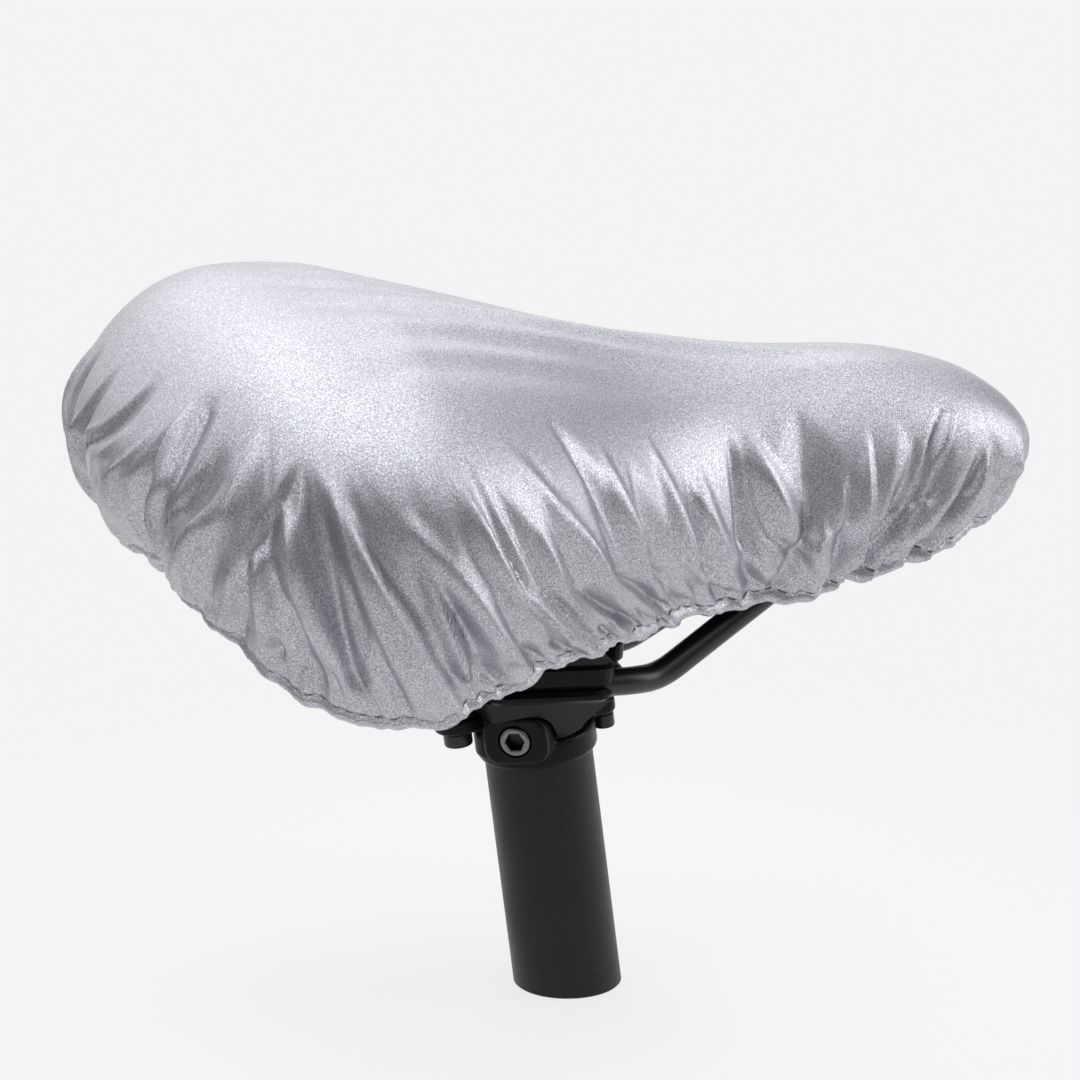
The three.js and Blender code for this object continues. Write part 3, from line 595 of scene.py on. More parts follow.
def cover_mesh_data():
    """Rows from crown to hem, then half a turn round the elastic and a strip up inside."""
    coarse, fine = even_angles(CROWN_COLUMNS), even_angles(FINE * CROWN_COLUMNS)
    upper = cover_point(*np.meshgrid(coarse, even_downs(0, SHOULDER_DOWN, CROWN_ROWS)))[0]
    skirt_downs = even_downs(SHOULDER_DOWN, FOOT_DOWN, SKIRT_ROWS)[1:]
    foot_downs = np.linspace(FOOT_DOWN, 1, FOOT_ROWS + 1)[1:]
    downs = np.concatenate([skirt_downs, foot_downs])
    foot, normals = cover_point(*np.meshgrid(fine, downs))
    end, out = foot[-1], normals[-1]
    way = unit(smooth_cover(fine, 1.0) - smooth_cover(fine, 0.97))
    bend = np.linspace(0, math.pi, HEM_ROWS + 1)[1:, None, None]
    bent = end - out * HEM_RADIUS * (1 - np.cos(bend)) + way * HEM_RADIUS * np.sin(bend)
    inside = np.stack([
        cover_point(fine, down_at(fine, rise))[0] - out * 2 * HEM_RADIUS
        for rise in (HEM_INSIDE / 2, HEM_INSIDE)
    ])
    lower = np.concatenate([foot, bent, inside])
    start = upper.shape[0] * CROWN_COLUMNS
    quads = np.concatenate([
        closed_rows(upper.shape[0], CROWN_COLUMNS),
        closed_rows(lower.shape[0], len(fine), start),
    ])
    fans = fan_rows(start - CROWN_COLUMNS, CROWN_COLUMNS, start)
    points = np.concatenate([upper.reshape(-1, 3), lower.reshape(-1, 3)])
    return points, quads, fans


def even_turns(count):
    """Angles of columns that stand evenly round a circle."""
    return np.arange(count) / count * 2 * math.pi


def rings_round(points, radius, side, other, sides):
    """A ring round each point, in the plane of its two directions."""
    a = even_turns(sides)[:, None]
    return (
        points[..., None, :]
        + radius * np.cos(a) * side[..., None, :]
        + radius * np.sin(a) * other[..., None, :]
    )


def stitch_shapes(length, gap):
    """Stitches round the hem: each is a thin round thread that rises out of the cloth,
    lies in the seam's groove and dives back in. All are swept at once."""
    fine = np.linspace(0, 2 * math.pi, 4001)
    lengths = lengths_along(smooth_cover(fine, 1.0))
    count = int(lengths[-1] / (length + gap))
    steps = np.linspace(-0.5, 0.5, 6)
    middles = (np.arange(count) + 0.5) / count * lengths[-1]
    angle = np.interp(middles[:, None] + steps * length, lengths, fine)
    points, normal = cover_point(angle, down_at(angle, STITCH_HEIGHT))
    dive = STITCH_RADIUS * (0.55 - 2.2 * (2 * np.abs(steps)) ** 4)
    points = points + normal * dive[:, None]
    way = unit(np.gradient(points, axis=1))
    side = unit(np.cross(way, normal))
    rings = rings_round(points, STITCH_RADIUS, side, np.cross(side, way), STITCH_SIDES)
    rows = len(steps)
    offsets = np.arange(count)[:, None, None] * rows * STITCH_SIDES
    quads = (closed_rows(rows, STITCH_SIDES) + offsets).reshape(-1, 4)
    first = np.arange(STITCH_SIDES)
    last = first + (rows - 1) * STITCH_SIDES
    ends = [first[::-1] + offsets[:, 0], last + offsets[:, 0]]
    return rings.reshape(-1, 3), [quads[:, ::-1], *ends]


def new_object(name, points, faces, material, sharp=None):
    """An object at the origin from points in mm and lists of faces, smooth shaded, with
    edges sharper than an angle in degrees kept sharp."""
    mesh = bpy.data.meshes.new(name)
    lists = [face for group in faces for face in np.asarray(group).tolist()]
    mesh.from_pydata((np.asarray(points) * MM).tolist(), [], lists)
    mesh.materials.append(material)
    mesh.shade_smooth()
    if sharp is not None:
        mesh.set_sharp_from_angle(angle=math.radians(sharp))
    piece = bpy.data.objects.new(name, mesh)
    bpy.context.scene.collection.objects.link(piece)
    return piece


def weld(piece, distance=1e-6):
    """Merges points that meet and turns all faces outwards."""
    mesh = bmesh.new()
    mesh.from_mesh(piece.data)
    bmesh.ops.remove_doubles(mesh, verts=mesh.verts, dist=distance)
    bmesh.ops.dissolve_degenerate(mesh, edges=mesh.edges, dist=distance)
    bmesh.ops.recalc_face_normals(mesh, faces=mesh.faces)
    mesh.to_mesh(piece.data)
    mesh.free()


def finish_piece(piece, slot, *nodes):
    """The piece rides on the part's body and stands for its nodes, which it hides. The slot is not
    used.
    """
    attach(piece, "root")
    if nodes:
        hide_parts(*nodes)


def built(name, shape, material, slot, node, sharp=None, merge=1e-6):
    """A welded piece from points and faces, in a material, that stands for a node. The slot is
    passed on but not used.
    """
    piece = new_object(name, *shape, material, sharp=sharp)
    weld(piece, merge)
    finish_piece(piece, slot, node)


def moved(shape, matrix):
    """A shape's points and faces, moved by a 4 by 4 matrix whose place is in mm."""
    points, faces = shape
    m = np.array(matrix)
    return np.asarray(points) @ m[:3, :3].T + m[:3, 3], faces


def lofted(loops):
    """Points and faces between loops of the same number of points, with flat end faces."""
    columns = len(loops[0])
    points = np.concatenate(loops)
    first = np.arange(columns)[None, ::-1]
    last = (np.arange(columns) + (len(loops) - 1) * columns)[None]
    return points, [closed_rows(len(loops), columns)[:, ::-1], first, last]


def rounded_loop(length, width, corner, height, per_corner=8):
    """A rectangle with round corners at a height, counter-clockwise seen from above."""
    a = np.linspace(0, math.pi / 2, per_corner) + np.arange(4)[:, None] * math.pi / 2
    signs = np.array(((1, 1), (-1, 1), (-1, -1), (1, -1)))[:, None]
    middles = signs * (length / 2 - corner, width / 2 - corner)
    flat = np.stack([np.cos(a), np.sin(a)], axis=-1) * corner + middles
    return np.insert(flat.reshape(-1, 2), 2, height, axis=1)


def rounded_block(length, width, corner, low, high, bevel, steps=3):
    """A rounded rectangle carried from low to high, its two rims rounded by a bevel."""
    a = np.linspace(0, math.pi / 2, steps + 1)
    inset = bevel * (1 - np.sin(a))
    rise = bevel * (1 - np.cos(a))
    levels = [*zip(inset, low + rise), *zip(inset[::-1], high - rise[::-1])]
    return lofted([
        rounded_loop(length - 2 * i, width - 2 * i, max(corner - i, 0.1), h) for i, h in levels
    ])


def tube(path, radius, sides):
    """A round bar along a path, with flat ends. Each ring stands square to the path, and its
    first direction is square to the saddle's left."""
    way = unit(np.gradient(path, axis=0))
    side = unit(np.cross(way, np.array((0.0, 1.0, 0.0))))
    return lofted(list(rings_round(path, radius, side, np.cross(way, side), sides)))


def resampled(path, step):
    """The same path with points an even step apart."""
    lengths = lengths_along(path)
    stops = np.linspace(0, lengths[-1], int(lengths[-1] / step) + 1)
    return np.stack([np.interp(stops, lengths, path[:, i]) for i in range(3)], axis=1)


def rail_path(side, stretch=0.0):
    """A rail's middle line: straight runs, and a quadratic curve through each corner."""
    route = np.array(RAIL_ROUTE, float) * (1, side, 1)
    t = np.linspace(0, 1, 25)[:, None]
    first = route[0] + stretch * unit(route[0] - route[1])
    last = route[-1] + stretch * unit(route[-1] - route[-2])
    pieces = [first[None]]
    for before, corner, after in zip(route[:-2], route[1:-1], route[2:]):
        back, onward = before - corner, after - corner
        cut = min(RAIL_BEND, np.linalg.norm(back) / 2.1, np.linalg.norm(onward) / 2.1)
        enter, leave = corner + unit(back) * cut, corner + unit(onward) * cut
        pieces.append((1 - t) ** 2 * enter + 2 * t * (1 - t) * corner + t * t * leave)
    pieces.append(last[None])
    return resampled(np.concatenate(pieces), 1.2)


def post_frame(x=0.0, z=0.0):
    """Placement along the post, which leans to the rear."""
    return Matrix.Rotation(-POST_LEAN, 4, "Y") @ Matrix.Translation((x, 0, z))


def lug_frame():
    """Placement of the lug: its z points out of its face, and its y along the post."""
    out = Vector((-math.sin(LUG_TURN), -math.cos(LUG_TURN), 0))
    up = Vector((0, 0, 1))
    axes = Matrix((up.cross(out), up, out)).transposed().to_4x4()
    return post_frame(z=LUG_HEIGHT) @ axes


def turned(rows, columns):
    """A closed turned solid with small flat end faces. Each row is a radius, or a radius
    for each column, and a height."""
    a = even_turns(columns)
    return lofted([
        np.stack([r * np.cos(a), r * np.sin(a), np.full(columns, float(h))], axis=1)
        for r, h in rows
    ])


def hexagon(flat, columns):
    """Radius of a hexagon, with this width across its flats, for each column."""
    sixth = math.pi / 3
    return flat / 2 / np.cos(np.mod(even_turns(columns), sixth) - sixth / 2)


def bar(radius, low, high, columns=64):
    """A plain round bar, as a cutter."""
    return turned([(radius, low), (radius, high)], columns)


def applied(piece):
    """Replaces the piece's mesh by the result of its modifiers."""
    result = bpy.data.meshes.new_from_object(
        piece.evaluated_get(bpy.context.evaluated_depsgraph_get()))
    piece.modifiers.clear()
    piece.data = result


def joined(name, shells, cutters, material, sharp=30.0, soften=None):
    """The union of closed shapes less the cutters. With soften, a voxel size in mm, the
    union is remeshed and smoothed, as a casting's edges are, before it is cut."""
    piece = new_object(name, *shells[0], material)
    others = [(shape, "UNION") for shape in shells[1:]]
    if soften:
        boolean(piece, others)
        remesh = piece.modifiers.new("remesh", "REMESH")
        remesh.mode = "VOXEL"
        remesh.voxel_size = soften * MM
        smooth = piece.modifiers.new("smooth", "SMOOTH")
        smooth.factor, smooth.iterations = 0.5, 5
        applied(piece)
        others = []
    boolean(piece, others + [(shape, "DIFFERENCE") for shape in cutters])
    piece.data.shade_smooth()
    piece.data.set_sharp_from_angle(angle=math.radians(sharp))
    return piece


def boolean(piece, shapes):
    """Joins or cuts the piece with each shape in turn, and applies the result."""
    tools = []
    for shape, operation in shapes:
        tool = new_object("tool", *shape, piece.data.materials[0])
        modifier = piece.modifiers.new("boolean", "BOOLEAN")
        modifier.object, modifier.operation, modifier.solver = tool, operation, "EXACT"
        tools.append(tool)
    if tools:
        applied(piece)
    for tool in tools:
        bpy.data.objects.remove(tool)


def saddle_plan(angles):
    """Widest line of the saddle: x, y, the spine's x that it faces, the share of the
    cover's width that it keeps, and the heights of its edge and of its lower rim."""
    x, y, spine_x, reach = outline(angles)
    edge = along("edge", x) - SADDLE_EDGE_DROP
    rim = edge - np.clip(edge - along("hem", x) - SADDLE_RIM_LIFT, 1, SADDLE_RIM)
    return x, y, spine_x, 1 - SADDLE_INSET / reach, edge, rim


def saddle_skin(drop, wall, angles, bends):
    """Rows of a skin of the saddle from its spine to its side: the cover's smooth form
    drawn in by an inset, lowered by a drop and narrowed by a share for the wall."""
    x, y, spine_x, keep, edge, rim = saddle_plan(angles)
    rows = []
    for a in bends:
        k = (1 - wall) * keep * max(math.cos(a), 0) ** (2 / along("shoulder", x))
        row_x = spine_x + (x - spine_x) * k
        rise = math.sin(a) ** (2 / CROWN_HEIGHT_POWER)
        z = edge + (along("spine", row_x) - SADDLE_CROWN_DROP - edge) * rise - drop
        rows.append(np.stack([row_x, y * k, np.maximum(z, rim)], axis=1))
    return rows


def rim_row(angles, tuck, height_share):
    """A row of the saddle's side, drawn in by a share and this far down to the rim."""
    x, y, spine_x, keep, edge, rim = saddle_plan(angles)
    k = keep * (1 - tuck)
    z = edge + (rim - edge) * height_share
    return np.stack([spine_x + (x - spine_x) * k, y * k, z], axis=1)


def saddle_rows(outer, inner, rim):
    """Points and faces of a closed skin: outer rows, rim rows, then the inner rows back."""
    rows = [*outer, *rim, *inner[::-1]]
    return np.concatenate(rows), [closed_rows(len(rows), len(rows[0]))[:, ::-1]]


def socket_shape(block, corner=3.0, bevel=0.8):
    """A block with round corners, from its row of sizes."""
    x, y, length, width, low, high = block
    points, faces = rounded_block(length, width, corner, low, high, bevel)
    return points + (x, y, 0), faces


def linear(hex_colour):
    """A colour such as #A0B1C2 as linear red, green, blue and alpha."""
    parts = [int(hex_colour[i : i + 2], 16) / 255 for i in (1, 3, 5)]
    return tuple(
        c / 12.92 if c <= 0.04045 else ((c + 0.055) / 1.055) ** 2.4 for c in parts
    ) + (1.0,)


def set_inputs(tree, node, inputs):
    """Sets a node's inputs. A socket is linked, and any other value is written in."""
    for name, value in inputs.items():
        if isinstance(value, bpy.types.NodeSocket):
            tree.links.new(value, node.inputs[name])
        else:
            node.inputs[name].default_value = value


def add_node(tree, kind, inputs=None, **settings):
    """Adds a node with its settings and its inputs."""
    node = tree.nodes.new(kind)
    for name, value in settings.items():
        setattr(node, name, value)
    set_inputs(tree, node, inputs or {})
    return node


def new_material(name):
    """A material with an empty tree but for its shader and output."""
    material = bpy.data.materials.new(name)
    material.use_nodes = True
    tree = material.node_tree
    tree.nodes.clear()
    shader = add_node(tree, "ShaderNodeBsdfPrincipled")
    add_node(tree, "ShaderNodeOutputMaterial", {"Surface": shader.outputs["BSDF"]})
    return material, tree, shader


def colour_ramp(tree, factor, stops):
    """A colour from a factor. Stops are pairs of a place and a hex colour."""
    ramp = add_node(tree, "ShaderNodeValToRGB", {"Fac": factor})
    elements = ramp.color_ramp.elements
    while len(elements) < len(stops):
        elements.new(0.5)
    for element, (place, colour) in zip(elements, stops):
        element.position = place
        element.color = linear(colour)
    return ramp.outputs["Color"]


def noise(tree, scale, detail, roughness=0.5):
    """Noise fixed to the piece, with this many cells to a metre."""
    where = add_node(tree, "ShaderNodeTexCoord").outputs["Object"]
    inputs = {"Vector": where, "Scale": scale, "Detail": detail, "Roughness": roughness}
    return add_node(tree, "ShaderNodeTexNoise", inputs).outputs["Fac"]


def spread(tree, value, low, high, start, end, kind="LINEAR"):
    """Start where the value is low, end where it is high, and what lies between."""
    inputs = {"Value": value, "From Min": low, "From Max": high, "To Min": start, "To Max": end}
    node = add_node(tree, "ShaderNodeMapRange", inputs, interpolation_type=kind)
    return node.outputs["Result"]


def bumps(tree, height, strength, depth):
    """A normal that follows a height, as deep as this in metres."""
    inputs = {"Height": height, "Strength": strength, "Distance": depth}
    return add_node(tree, "ShaderNodeBump", inputs).outputs["Normal"]


def glass_bead_cloth():
    """Reflective polyester taffeta with a layer of glass beads in aluminium paint. It looks
    like satin metal with a fine sparkling grain, whitest where it faces the light."""
    material, tree, shader = new_material("glass_bead_reflective_cloth")
    # Beads are 0.05 mm, too fine for the render, so the grain is drawn about 0.4 mm wide
    grain = noise(tree, 2700, 3, 0.8)
    stops = ((0.38, "#8F8F96"), (0.5, "#B0B0B6"), (0.62, "#E2E2E8"))
    set_inputs(tree, shader, {
        "Base Color": colour_ramp(tree, grain, stops),
        "Roughness": spread(tree, grain, 0.35, 0.65, 0.4, 0.26),
        "Normal": bumps(tree, grain, 0.45, 0.0002),
        "Metallic": 0.85,
    })
    return material


def polyester_thread():
    """Twisted grey polyester sewing thread, slightly glossy."""
    material, tree, shader = new_material("polyester_sewing_thread")
    stops = ((0.3, "#56565B"), (0.7, "#7F7F85"))
    set_inputs(tree, shader, {
        "Base Color": colour_ramp(tree, noise(tree, 4000, 2), stops),
        "Roughness": 0.5,
    })
    return material


def grained(name, dark, light, grain, roughness, relief, metallic, gloss=0.5):
    """A hard finish from a dark to a light colour with a fine even grain, of a width in mm.
    The relief says how far the grain stands out. Its roughness varies in wide patches."""
    material, tree, shader = new_material(name)
    grains = noise(tree, 1000 / grain, 3, 0.65)
    set_inputs(tree, shader, {
        "Base Color": colour_ramp(tree, grains, ((0.35, dark), (0.65, light))),
        "Roughness": spread(
            tree, noise(tree, 60, 4), 0.3, 0.7, roughness - 0.05, roughness + 0.06),
        "Normal": bumps(tree, grains, relief, 0.0001),
        "Metallic": metallic,
        "Specular IOR Level": gloss,
    })
    return material


def anodised_post():
    """Aluminium tube, bead blasted and anodised black: a soft sheen with a fine grain."""
    return grained("black_anodised_tube", "#0D0D0E", "#1D1D1E", 0.55, 0.42, 0.35, 0.2, 0.32)


def anodised_clamp():
    """Forged aluminium, tumbled and anodised black: smoother and satin."""
    return grained("black_anodised_forging", "#0B0B0C", "#151516", 0.4, 0.32, 0.12, 0.2, 0.16)


def coated_rail():
    """Steel bar with a satin black powder coat: a clear soft highlight along the bar."""
    return grained("black_powder_coated_steel", "#141415", "#1D1D1E", 0.5, 0.3, 0.06, 0.0)


def machined_bolt():
    """Bare alloy steel for the socket head's face and sides, grey and metallic."""
    return grained("bare_alloy_steel_head", "#666465", "#848283", 0.3, 0.33, 0.05, 1.0)


def blackened_steel_and_socket_shade():
    """Alloy steel, blackened and oiled; in the cross bolt's socket the same black is painted shade
    in the recess.
    """
    return grained("blackened_alloy_steel_and_socket_shade", "#1B1A1B", "#2A292A", 0.3, 0.35, 0.05, 0.4)


def coated_pad():
    """Polyurethane-coated saddle skin, matt black with a fine leather-like grain."""
    return grained("polyurethane_saddle_skin", "#161617", "#262628", 0.8, 0.62, 0.5, 0.0)


def moulded_shell():
    """Glass-filled nylon, moulded: dark grey with a faint spark texture."""
    return grained("moulded_nylon", "#1A1A1B", "#242425", 0.6, 0.5, 0.2, 0.0)


class SADDLE_PG_cover(bpy.types.PropertyGroup):
    cloth_thickness: bpy.props.FloatProperty(
        name="Cloth thickness", description="Thickness of the cloth", default=0.0004,
        min=0.0001, max=0.002, unit="LENGTH")
    stitch_length: bpy.props.FloatProperty(
        name="Stitch length", description="Length of a stitch of the hem's seam",
        default=0.0026, min=0.001, max=0.006, unit="LENGTH")
    stitch_gap: bpy.props.FloatProperty(
        name="Stitch gap", description="Gap between two stitches", default=0.0009,
        min=0.0002, max=0.004, unit="LENGTH")


class SADDLE_PG_hardware(bpy.types.PropertyGroup):
    rail_sides: bpy.props.IntProperty(
        name="Rail sides", description="Number of sides of the round rails", default=28,
        min=8, max=64)
    round_sides: bpy.props.IntProperty(
        name="Round sides", description="Number of sides of the post, its collar and bolts",
        default=96, min=12, max=256)


class SADDLE_PG_stage(bpy.types.PropertyGroup):
    floor_colour: bpy.props.FloatVectorProperty(
        name="Floor colour", description="Colour of the pale floor", subtype="COLOR",
        size=4, default=linear("#F3F3F4"), min=0, max=1)
    azimuth: bpy.props.FloatProperty(
        name="Azimuth", description="How far the camera stands towards the rear of the "
        "saddle's right side", default=math.radians(21), subtype="ANGLE")
    elevation: bpy.props.FloatProperty(
        name="Elevation", description="Height of the camera above the horizon",
        default=math.radians(18), subtype="ANGLE")
    distance: bpy.props.FloatProperty(
        name="Distance", description="Distance of the camera from what it looks at",
        default=1.5, unit="LENGTH")
    lens: bpy.props.FloatProperty(
        name="Focal length", description="Focal length on a 36 mm sensor", default=201.62,
        subtype="DISTANCE_CAMERA")


class SADDLE_OT_cover(bpy.types.Operator):
    """Builds the gathered cloth cover with its turned-in hem"""

    bl_idname = "saddle.cover"
    bl_label = "Cover"

    def execute(self, context):
        points, quads, fans = cover_mesh_data()
        piece = new_object("saddle_cover", points, [quads, fans], glass_bead_cloth())
        weld(piece)
        wall = piece.modifiers.new("cloth", "SOLIDIFY")
        wall.thickness = context.scene.saddle_cover.cloth_thickness
        wall.offset = -1
        finish_piece(piece, "cover_cloth", "cover")
        return {"FINISHED"}


class SADDLE_OT_stitches(bpy.types.Operator):
    """Sews the hem: a row of short thread stitches in the groove above the elastic"""

    bl_idname = "saddle.stitches"
    bl_label = "Hem stitches"

    def execute(self, context):
        settings = context.scene.saddle_cover
        shape = stitch_shapes(settings.stitch_length / MM, settings.stitch_gap / MM)
        piece = new_object("hem_stitches", *shape, polyester_thread())
        finish_piece(piece, "cover_cloth")
        return {"FINISHED"}


class SADDLE_OT_saddle(bpy.types.Operator):
    """Builds the padded saddle under the cover, its shell and the rails' sockets"""

    bl_idname = "saddle.saddle"
    bl_label = "Saddle"

    def execute(self, context):
        angles = even_angles(SADDLE_COLUMNS)
        bends = np.linspace(math.pi / 2, 0, SADDLE_ROWS)
        side = [
            rim_row(angles, SADDLE_RIM_TUCK * (1 - math.cos(a)), 0.9 * math.sin(a))
            for a in np.linspace(0, math.pi / 2, SIDE_ROWS + 1)[1:]
        ]
        lip = [rim_row(angles, share, 1.0) for share in (SADDLE_RIM_TUCK + 0.02, PAD_WALL)]
        edge = [rim_row(angles, share, 1.0) for share in (SHELL_SIDE, SHELL_WALL)]
        skins = (
            ("saddle_pad", (0, 0), (PAD_DEPTH, PAD_WALL), side + lip, coated_pad()),
            ("saddle_shell", (SHELL_TOP, SHELL_SIDE), (SHELL_DEPTH, SHELL_WALL), edge,
             moulded_shell()),
        )
        for name, outer, inner, rim, material in skins:
            outside, inside = (saddle_skin(*skin, angles, bends) for skin in (outer, inner))
            shape = saddle_rows(outside, inside, rim)
            built(name, shape, material, "saddle_padding", "saddle", merge=1e-5)
        sides = context.scene.saddle_hardware.rail_sides
        ends = [tube(rail_path(s, PIECE_GAP), RAIL_RADIUS + PIECE_GAP, sides) for s in (-1, 1)]
        blocks = (
            ("rear_socket_left", REAR_SOCKETS[0], ends[1:], "saddle", "saddle_padding"),
            ("rear_socket_right", REAR_SOCKETS[1], ends[:1], "saddle", "saddle_padding"),
            ("nose_boss", NOSE_BOSS, (), "saddle", "saddle_padding"),
            ("nose_plate", NOSE_BRACKET, ends, "nose_bracket", "rail_steel"),
        )
        for name, block, cutters, node, slot in blocks:
            material = coated_rail() if node == "nose_bracket" else moulded_shell()
            piece = joined(name, [socket_shape(block)], cutters, material)
            finish_piece(piece, slot, node)
        return {"FINISHED"}


class SADDLE_OT_rails(bpy.types.Operator):
    """Builds the two bent rails"""

    bl_idname = "saddle.rails"
    bl_label = "Rails"

    def execute(self, context):
        sides = context.scene.saddle_hardware.rail_sides
        for name, side in (("right", -1), ("left", 1)):
            shape = tube(rail_path(side), RAIL_RADIUS, sides)
            built(f"steel_rail_{name}", shape, coated_rail(), "rail_steel", f"rail_{name}", sharp=40)
        return {"FINISHED"}


class SADDLE_OT_post(bpy.types.Operator):
    """Builds the cut-off seat post, whose foot is flat on the floor"""

    bl_idname = "saddle.post"
    bl_label = "Seat post"

    def execute(self, context):
        columns = context.scene.saddle_hardware.round_sides
        a = even_turns(columns)
        rows = (
            (POST_RADIUS - FOOT_BEVEL, 0.0, True),
            (POST_RADIUS, FOOT_BEVEL, True),
            (POST_RADIUS, POST_TOP - TOP_BEVEL, False),
            (POST_RADIUS - TOP_BEVEL, POST_TOP, False),
        )
        loops = []
        for radius, height, level in rows:
            x = radius * np.cos(a)
            z = height + 0 * a
            if level:
                z = height / math.cos(POST_LEAN) - x * math.tan(POST_LEAN)
            loops.append(np.stack([x, radius * np.sin(a), z], axis=1))
        post = moved(lofted(loops), post_frame())
        built("post_tube", post, anodised_post(), "post_black", "seat_post", sharp=30)
        return {"FINISHED"}


class SADDLE_OT_collar(bpy.types.Operator):
    """Builds the post's forged head: a ring with the cross bolt's lug and two ears"""

    bl_idname = "saddle.collar"
    bl_label = "Collar"

    def execute(self, context):
        columns = context.scene.saddle_hardware.round_sides
        ring = turned([
            (COLLAR_RADIUS - COLLAR_BEVEL, COLLAR_LOW),
            (COLLAR_RADIUS, COLLAR_LOW + COLLAR_BEVEL),
            (COLLAR_RADIUS, COLLAR_HIGH - COLLAR_BEVEL),
            (COLLAR_RADIUS - COLLAR_BEVEL, COLLAR_HIGH),
        ], columns)
        lug = rounded_block(LUG_WIDTH, LUG_TALL, LUG_CORNER, LUG_BACK, LUG_FACE, LUG_BEVEL, 4)
        shells = [moved(ring, post_frame()), moved(lug, lug_frame())]
        # The cutters reach past what they cut
        bore = bar(POST_RADIUS + PIECE_GAP, COLLAR_LOW - 9, COLLAR_HIGH + 20, columns)
        well_foot = LUG_FACE - SIDE_BOLT_LENGTH - PIECE_GAP
        well = bar(SIDE_BOLT_RADIUS + PIECE_GAP, well_foot, LUG_FACE + 4)
        cutters = [moved(bore, post_frame()), moved(well, lug_frame())]
        for ear in EARS:
            low = ear["top"] - EAR_THICKNESS
            for x, bottom in ((ear["x"], low), (ear["root_x"], COLLAR_LOW + 2)):
                radius = ear["radius"]
                arm = rounded_block(
                    abs(x) + 2 * radius, 2 * radius, radius - 0.05, bottom, ear["top"], EAR_BEVEL)
                shells.append(moved(arm, post_frame(x / 2)))
            hole = bar(BOLT_SHAFT + PIECE_GAP, ear["top"] - 40, ear["top"] + 20, 48)
            cutters.append(moved(hole, post_frame(ear["x"])))
        forging = anodised_clamp()
        piece = joined("forged_collar", shells, cutters, forging, soften=0.45)
        finish_piece(piece, "clamp_black", "collar")
        # The clamp's plates stay as they are in the frame, in the collar's finish
        for node in ("clamp_top", "clamp_base"):
            bpy.data.objects[node].material_slots[0].material = forging
        return {"FINISHED"}


class SADDLE_OT_bolts(bpy.types.Operator):
    """Builds the socket-head bolt in the lug and the two upright bolts"""

    bl_idname = "saddle.bolts"
    bl_label = "Bolts"

    def execute(self, context):
        columns = context.scene.saddle_hardware.round_sides
        low, top = LUG_FACE - SIDE_BOLT_LENGTH, LUG_FACE + 0.3
        r, hexa = SIDE_BOLT_RADIUS, hexagon(SOCKET_FLAT, columns)
        head = turned([
            (0.1, low), (r - 0.3, low), (r, low + 0.3), (r, top - 0.7), (r - 0.12, top - 0.3),
            (r - 0.4, top - 0.06), (r - 0.7, top), (2.75, top), (hexa + 0.12, top - 0.12),
            (hexa, top - 0.35), (hexa, top - 3.3), (0.1, top - 3.6)], columns)
        piece = new_object("cross_bolt", *moved(head, lug_frame()), machined_bolt(), sharp=35)
        # A second, black material, painted shade for the socket's recess
        piece.data.materials.append(blackened_steel_and_socket_shade())
        # The face and sides stay bare steel, and the socket, whose wall starts at this row, is black
        # as painted shade in its recess
        socket_row = 9
        for face in piece.data.polygons:
            if face.index >= socket_row * columns:
                face.material_index = 1
        weld(piece)
        finish_piece(piece, "bolt_steel", "bolt_side")
        for ear in EARS:
            under = ear["top"] - EAR_THICKNESS - PIECE_GAP
            base, r = under - BOLT_HEAD_HEIGHT, ear["head"]
            hexa = hexagon(1.05 * r, columns)
            rows = [
                (0.1, base + 2.1), (hexa, base + 1.8), (hexa, base + 0.2), (hexa + 0.15, base),
                (r - 0.5, base), (r - 0.15, base + 0.15), (r, base + 0.5), (r, under - 0.3),
                (r - 0.3, under), (BOLT_SHAFT, under), (BOLT_SHAFT, ear["bolt_top"] - 0.4),
                (BOLT_SHAFT - 0.4, ear["bolt_top"]), (0.1, ear["bolt_top"])]
            bolt = moved(turned(rows, columns), post_frame(ear["x"]))
            name, steel = ear["name"], blackened_steel_and_socket_shade()
            built(f"upright_bolt_{name}", bolt, steel, "bolt_steel", f"bolt_{name}", sharp=35)
        return {"FINISHED"}


class SADDLE_OT_stage(bpy.types.Operator):
    """Sets up the pale floor, the soft studio light and the camera of the photograph"""

    bl_idname = "saddle.stage"
    bl_label = "Stage"

    def execute(self, context):
        stage = context.scene.saddle_stage
        pale_floor(stage.floor_colour)
        studio_light()
        look_from(stage.azimuth, stage.elevation, stage.distance, stage.lens)
        return {"FINISHED"}


LOOK_AT = Vector((-7.495, 0.0, 118.326)) * MM

# Half the floor's width in mm
FLOOR_HALF = 8000
# Where a change over the floor starts and ends, in m, and the value at its start and end:
# the share of the matt paper, out from the origin, and the floor's painted glow along y and along x
MATT_SHARE = (0.02, 0.24, 0.16, 0)
LIGHT_ALONG_Y = (-0.7, -0.15, 0.4, 1)
LIGHT_ALONG_X = (-0.5, -0.17, 0.35, 1)


def look_from(azimuth, elevation, distance, lens):
    """Puts the camera on a sphere round the point that the photograph's centre shows."""
    way = Vector((
        math.sin(azimuth) * math.cos(elevation),
        math.cos(azimuth) * math.cos(elevation),
        -math.sin(elevation),
    ))
    camera = bpy.data.cameras.new("camera")
    camera.lens = lens
    camera.sensor_width = 36.0
    camera.clip_end = 50.0
    piece = bpy.data.objects.new("camera", camera)
    piece.location = LOOK_AT - way * distance
    piece.rotation_euler = way.to_track_quat("-Z", "Y").to_euler()
    bpy.context.scene.collection.objects.link(piece)
    bpy.context.scene.camera = piece


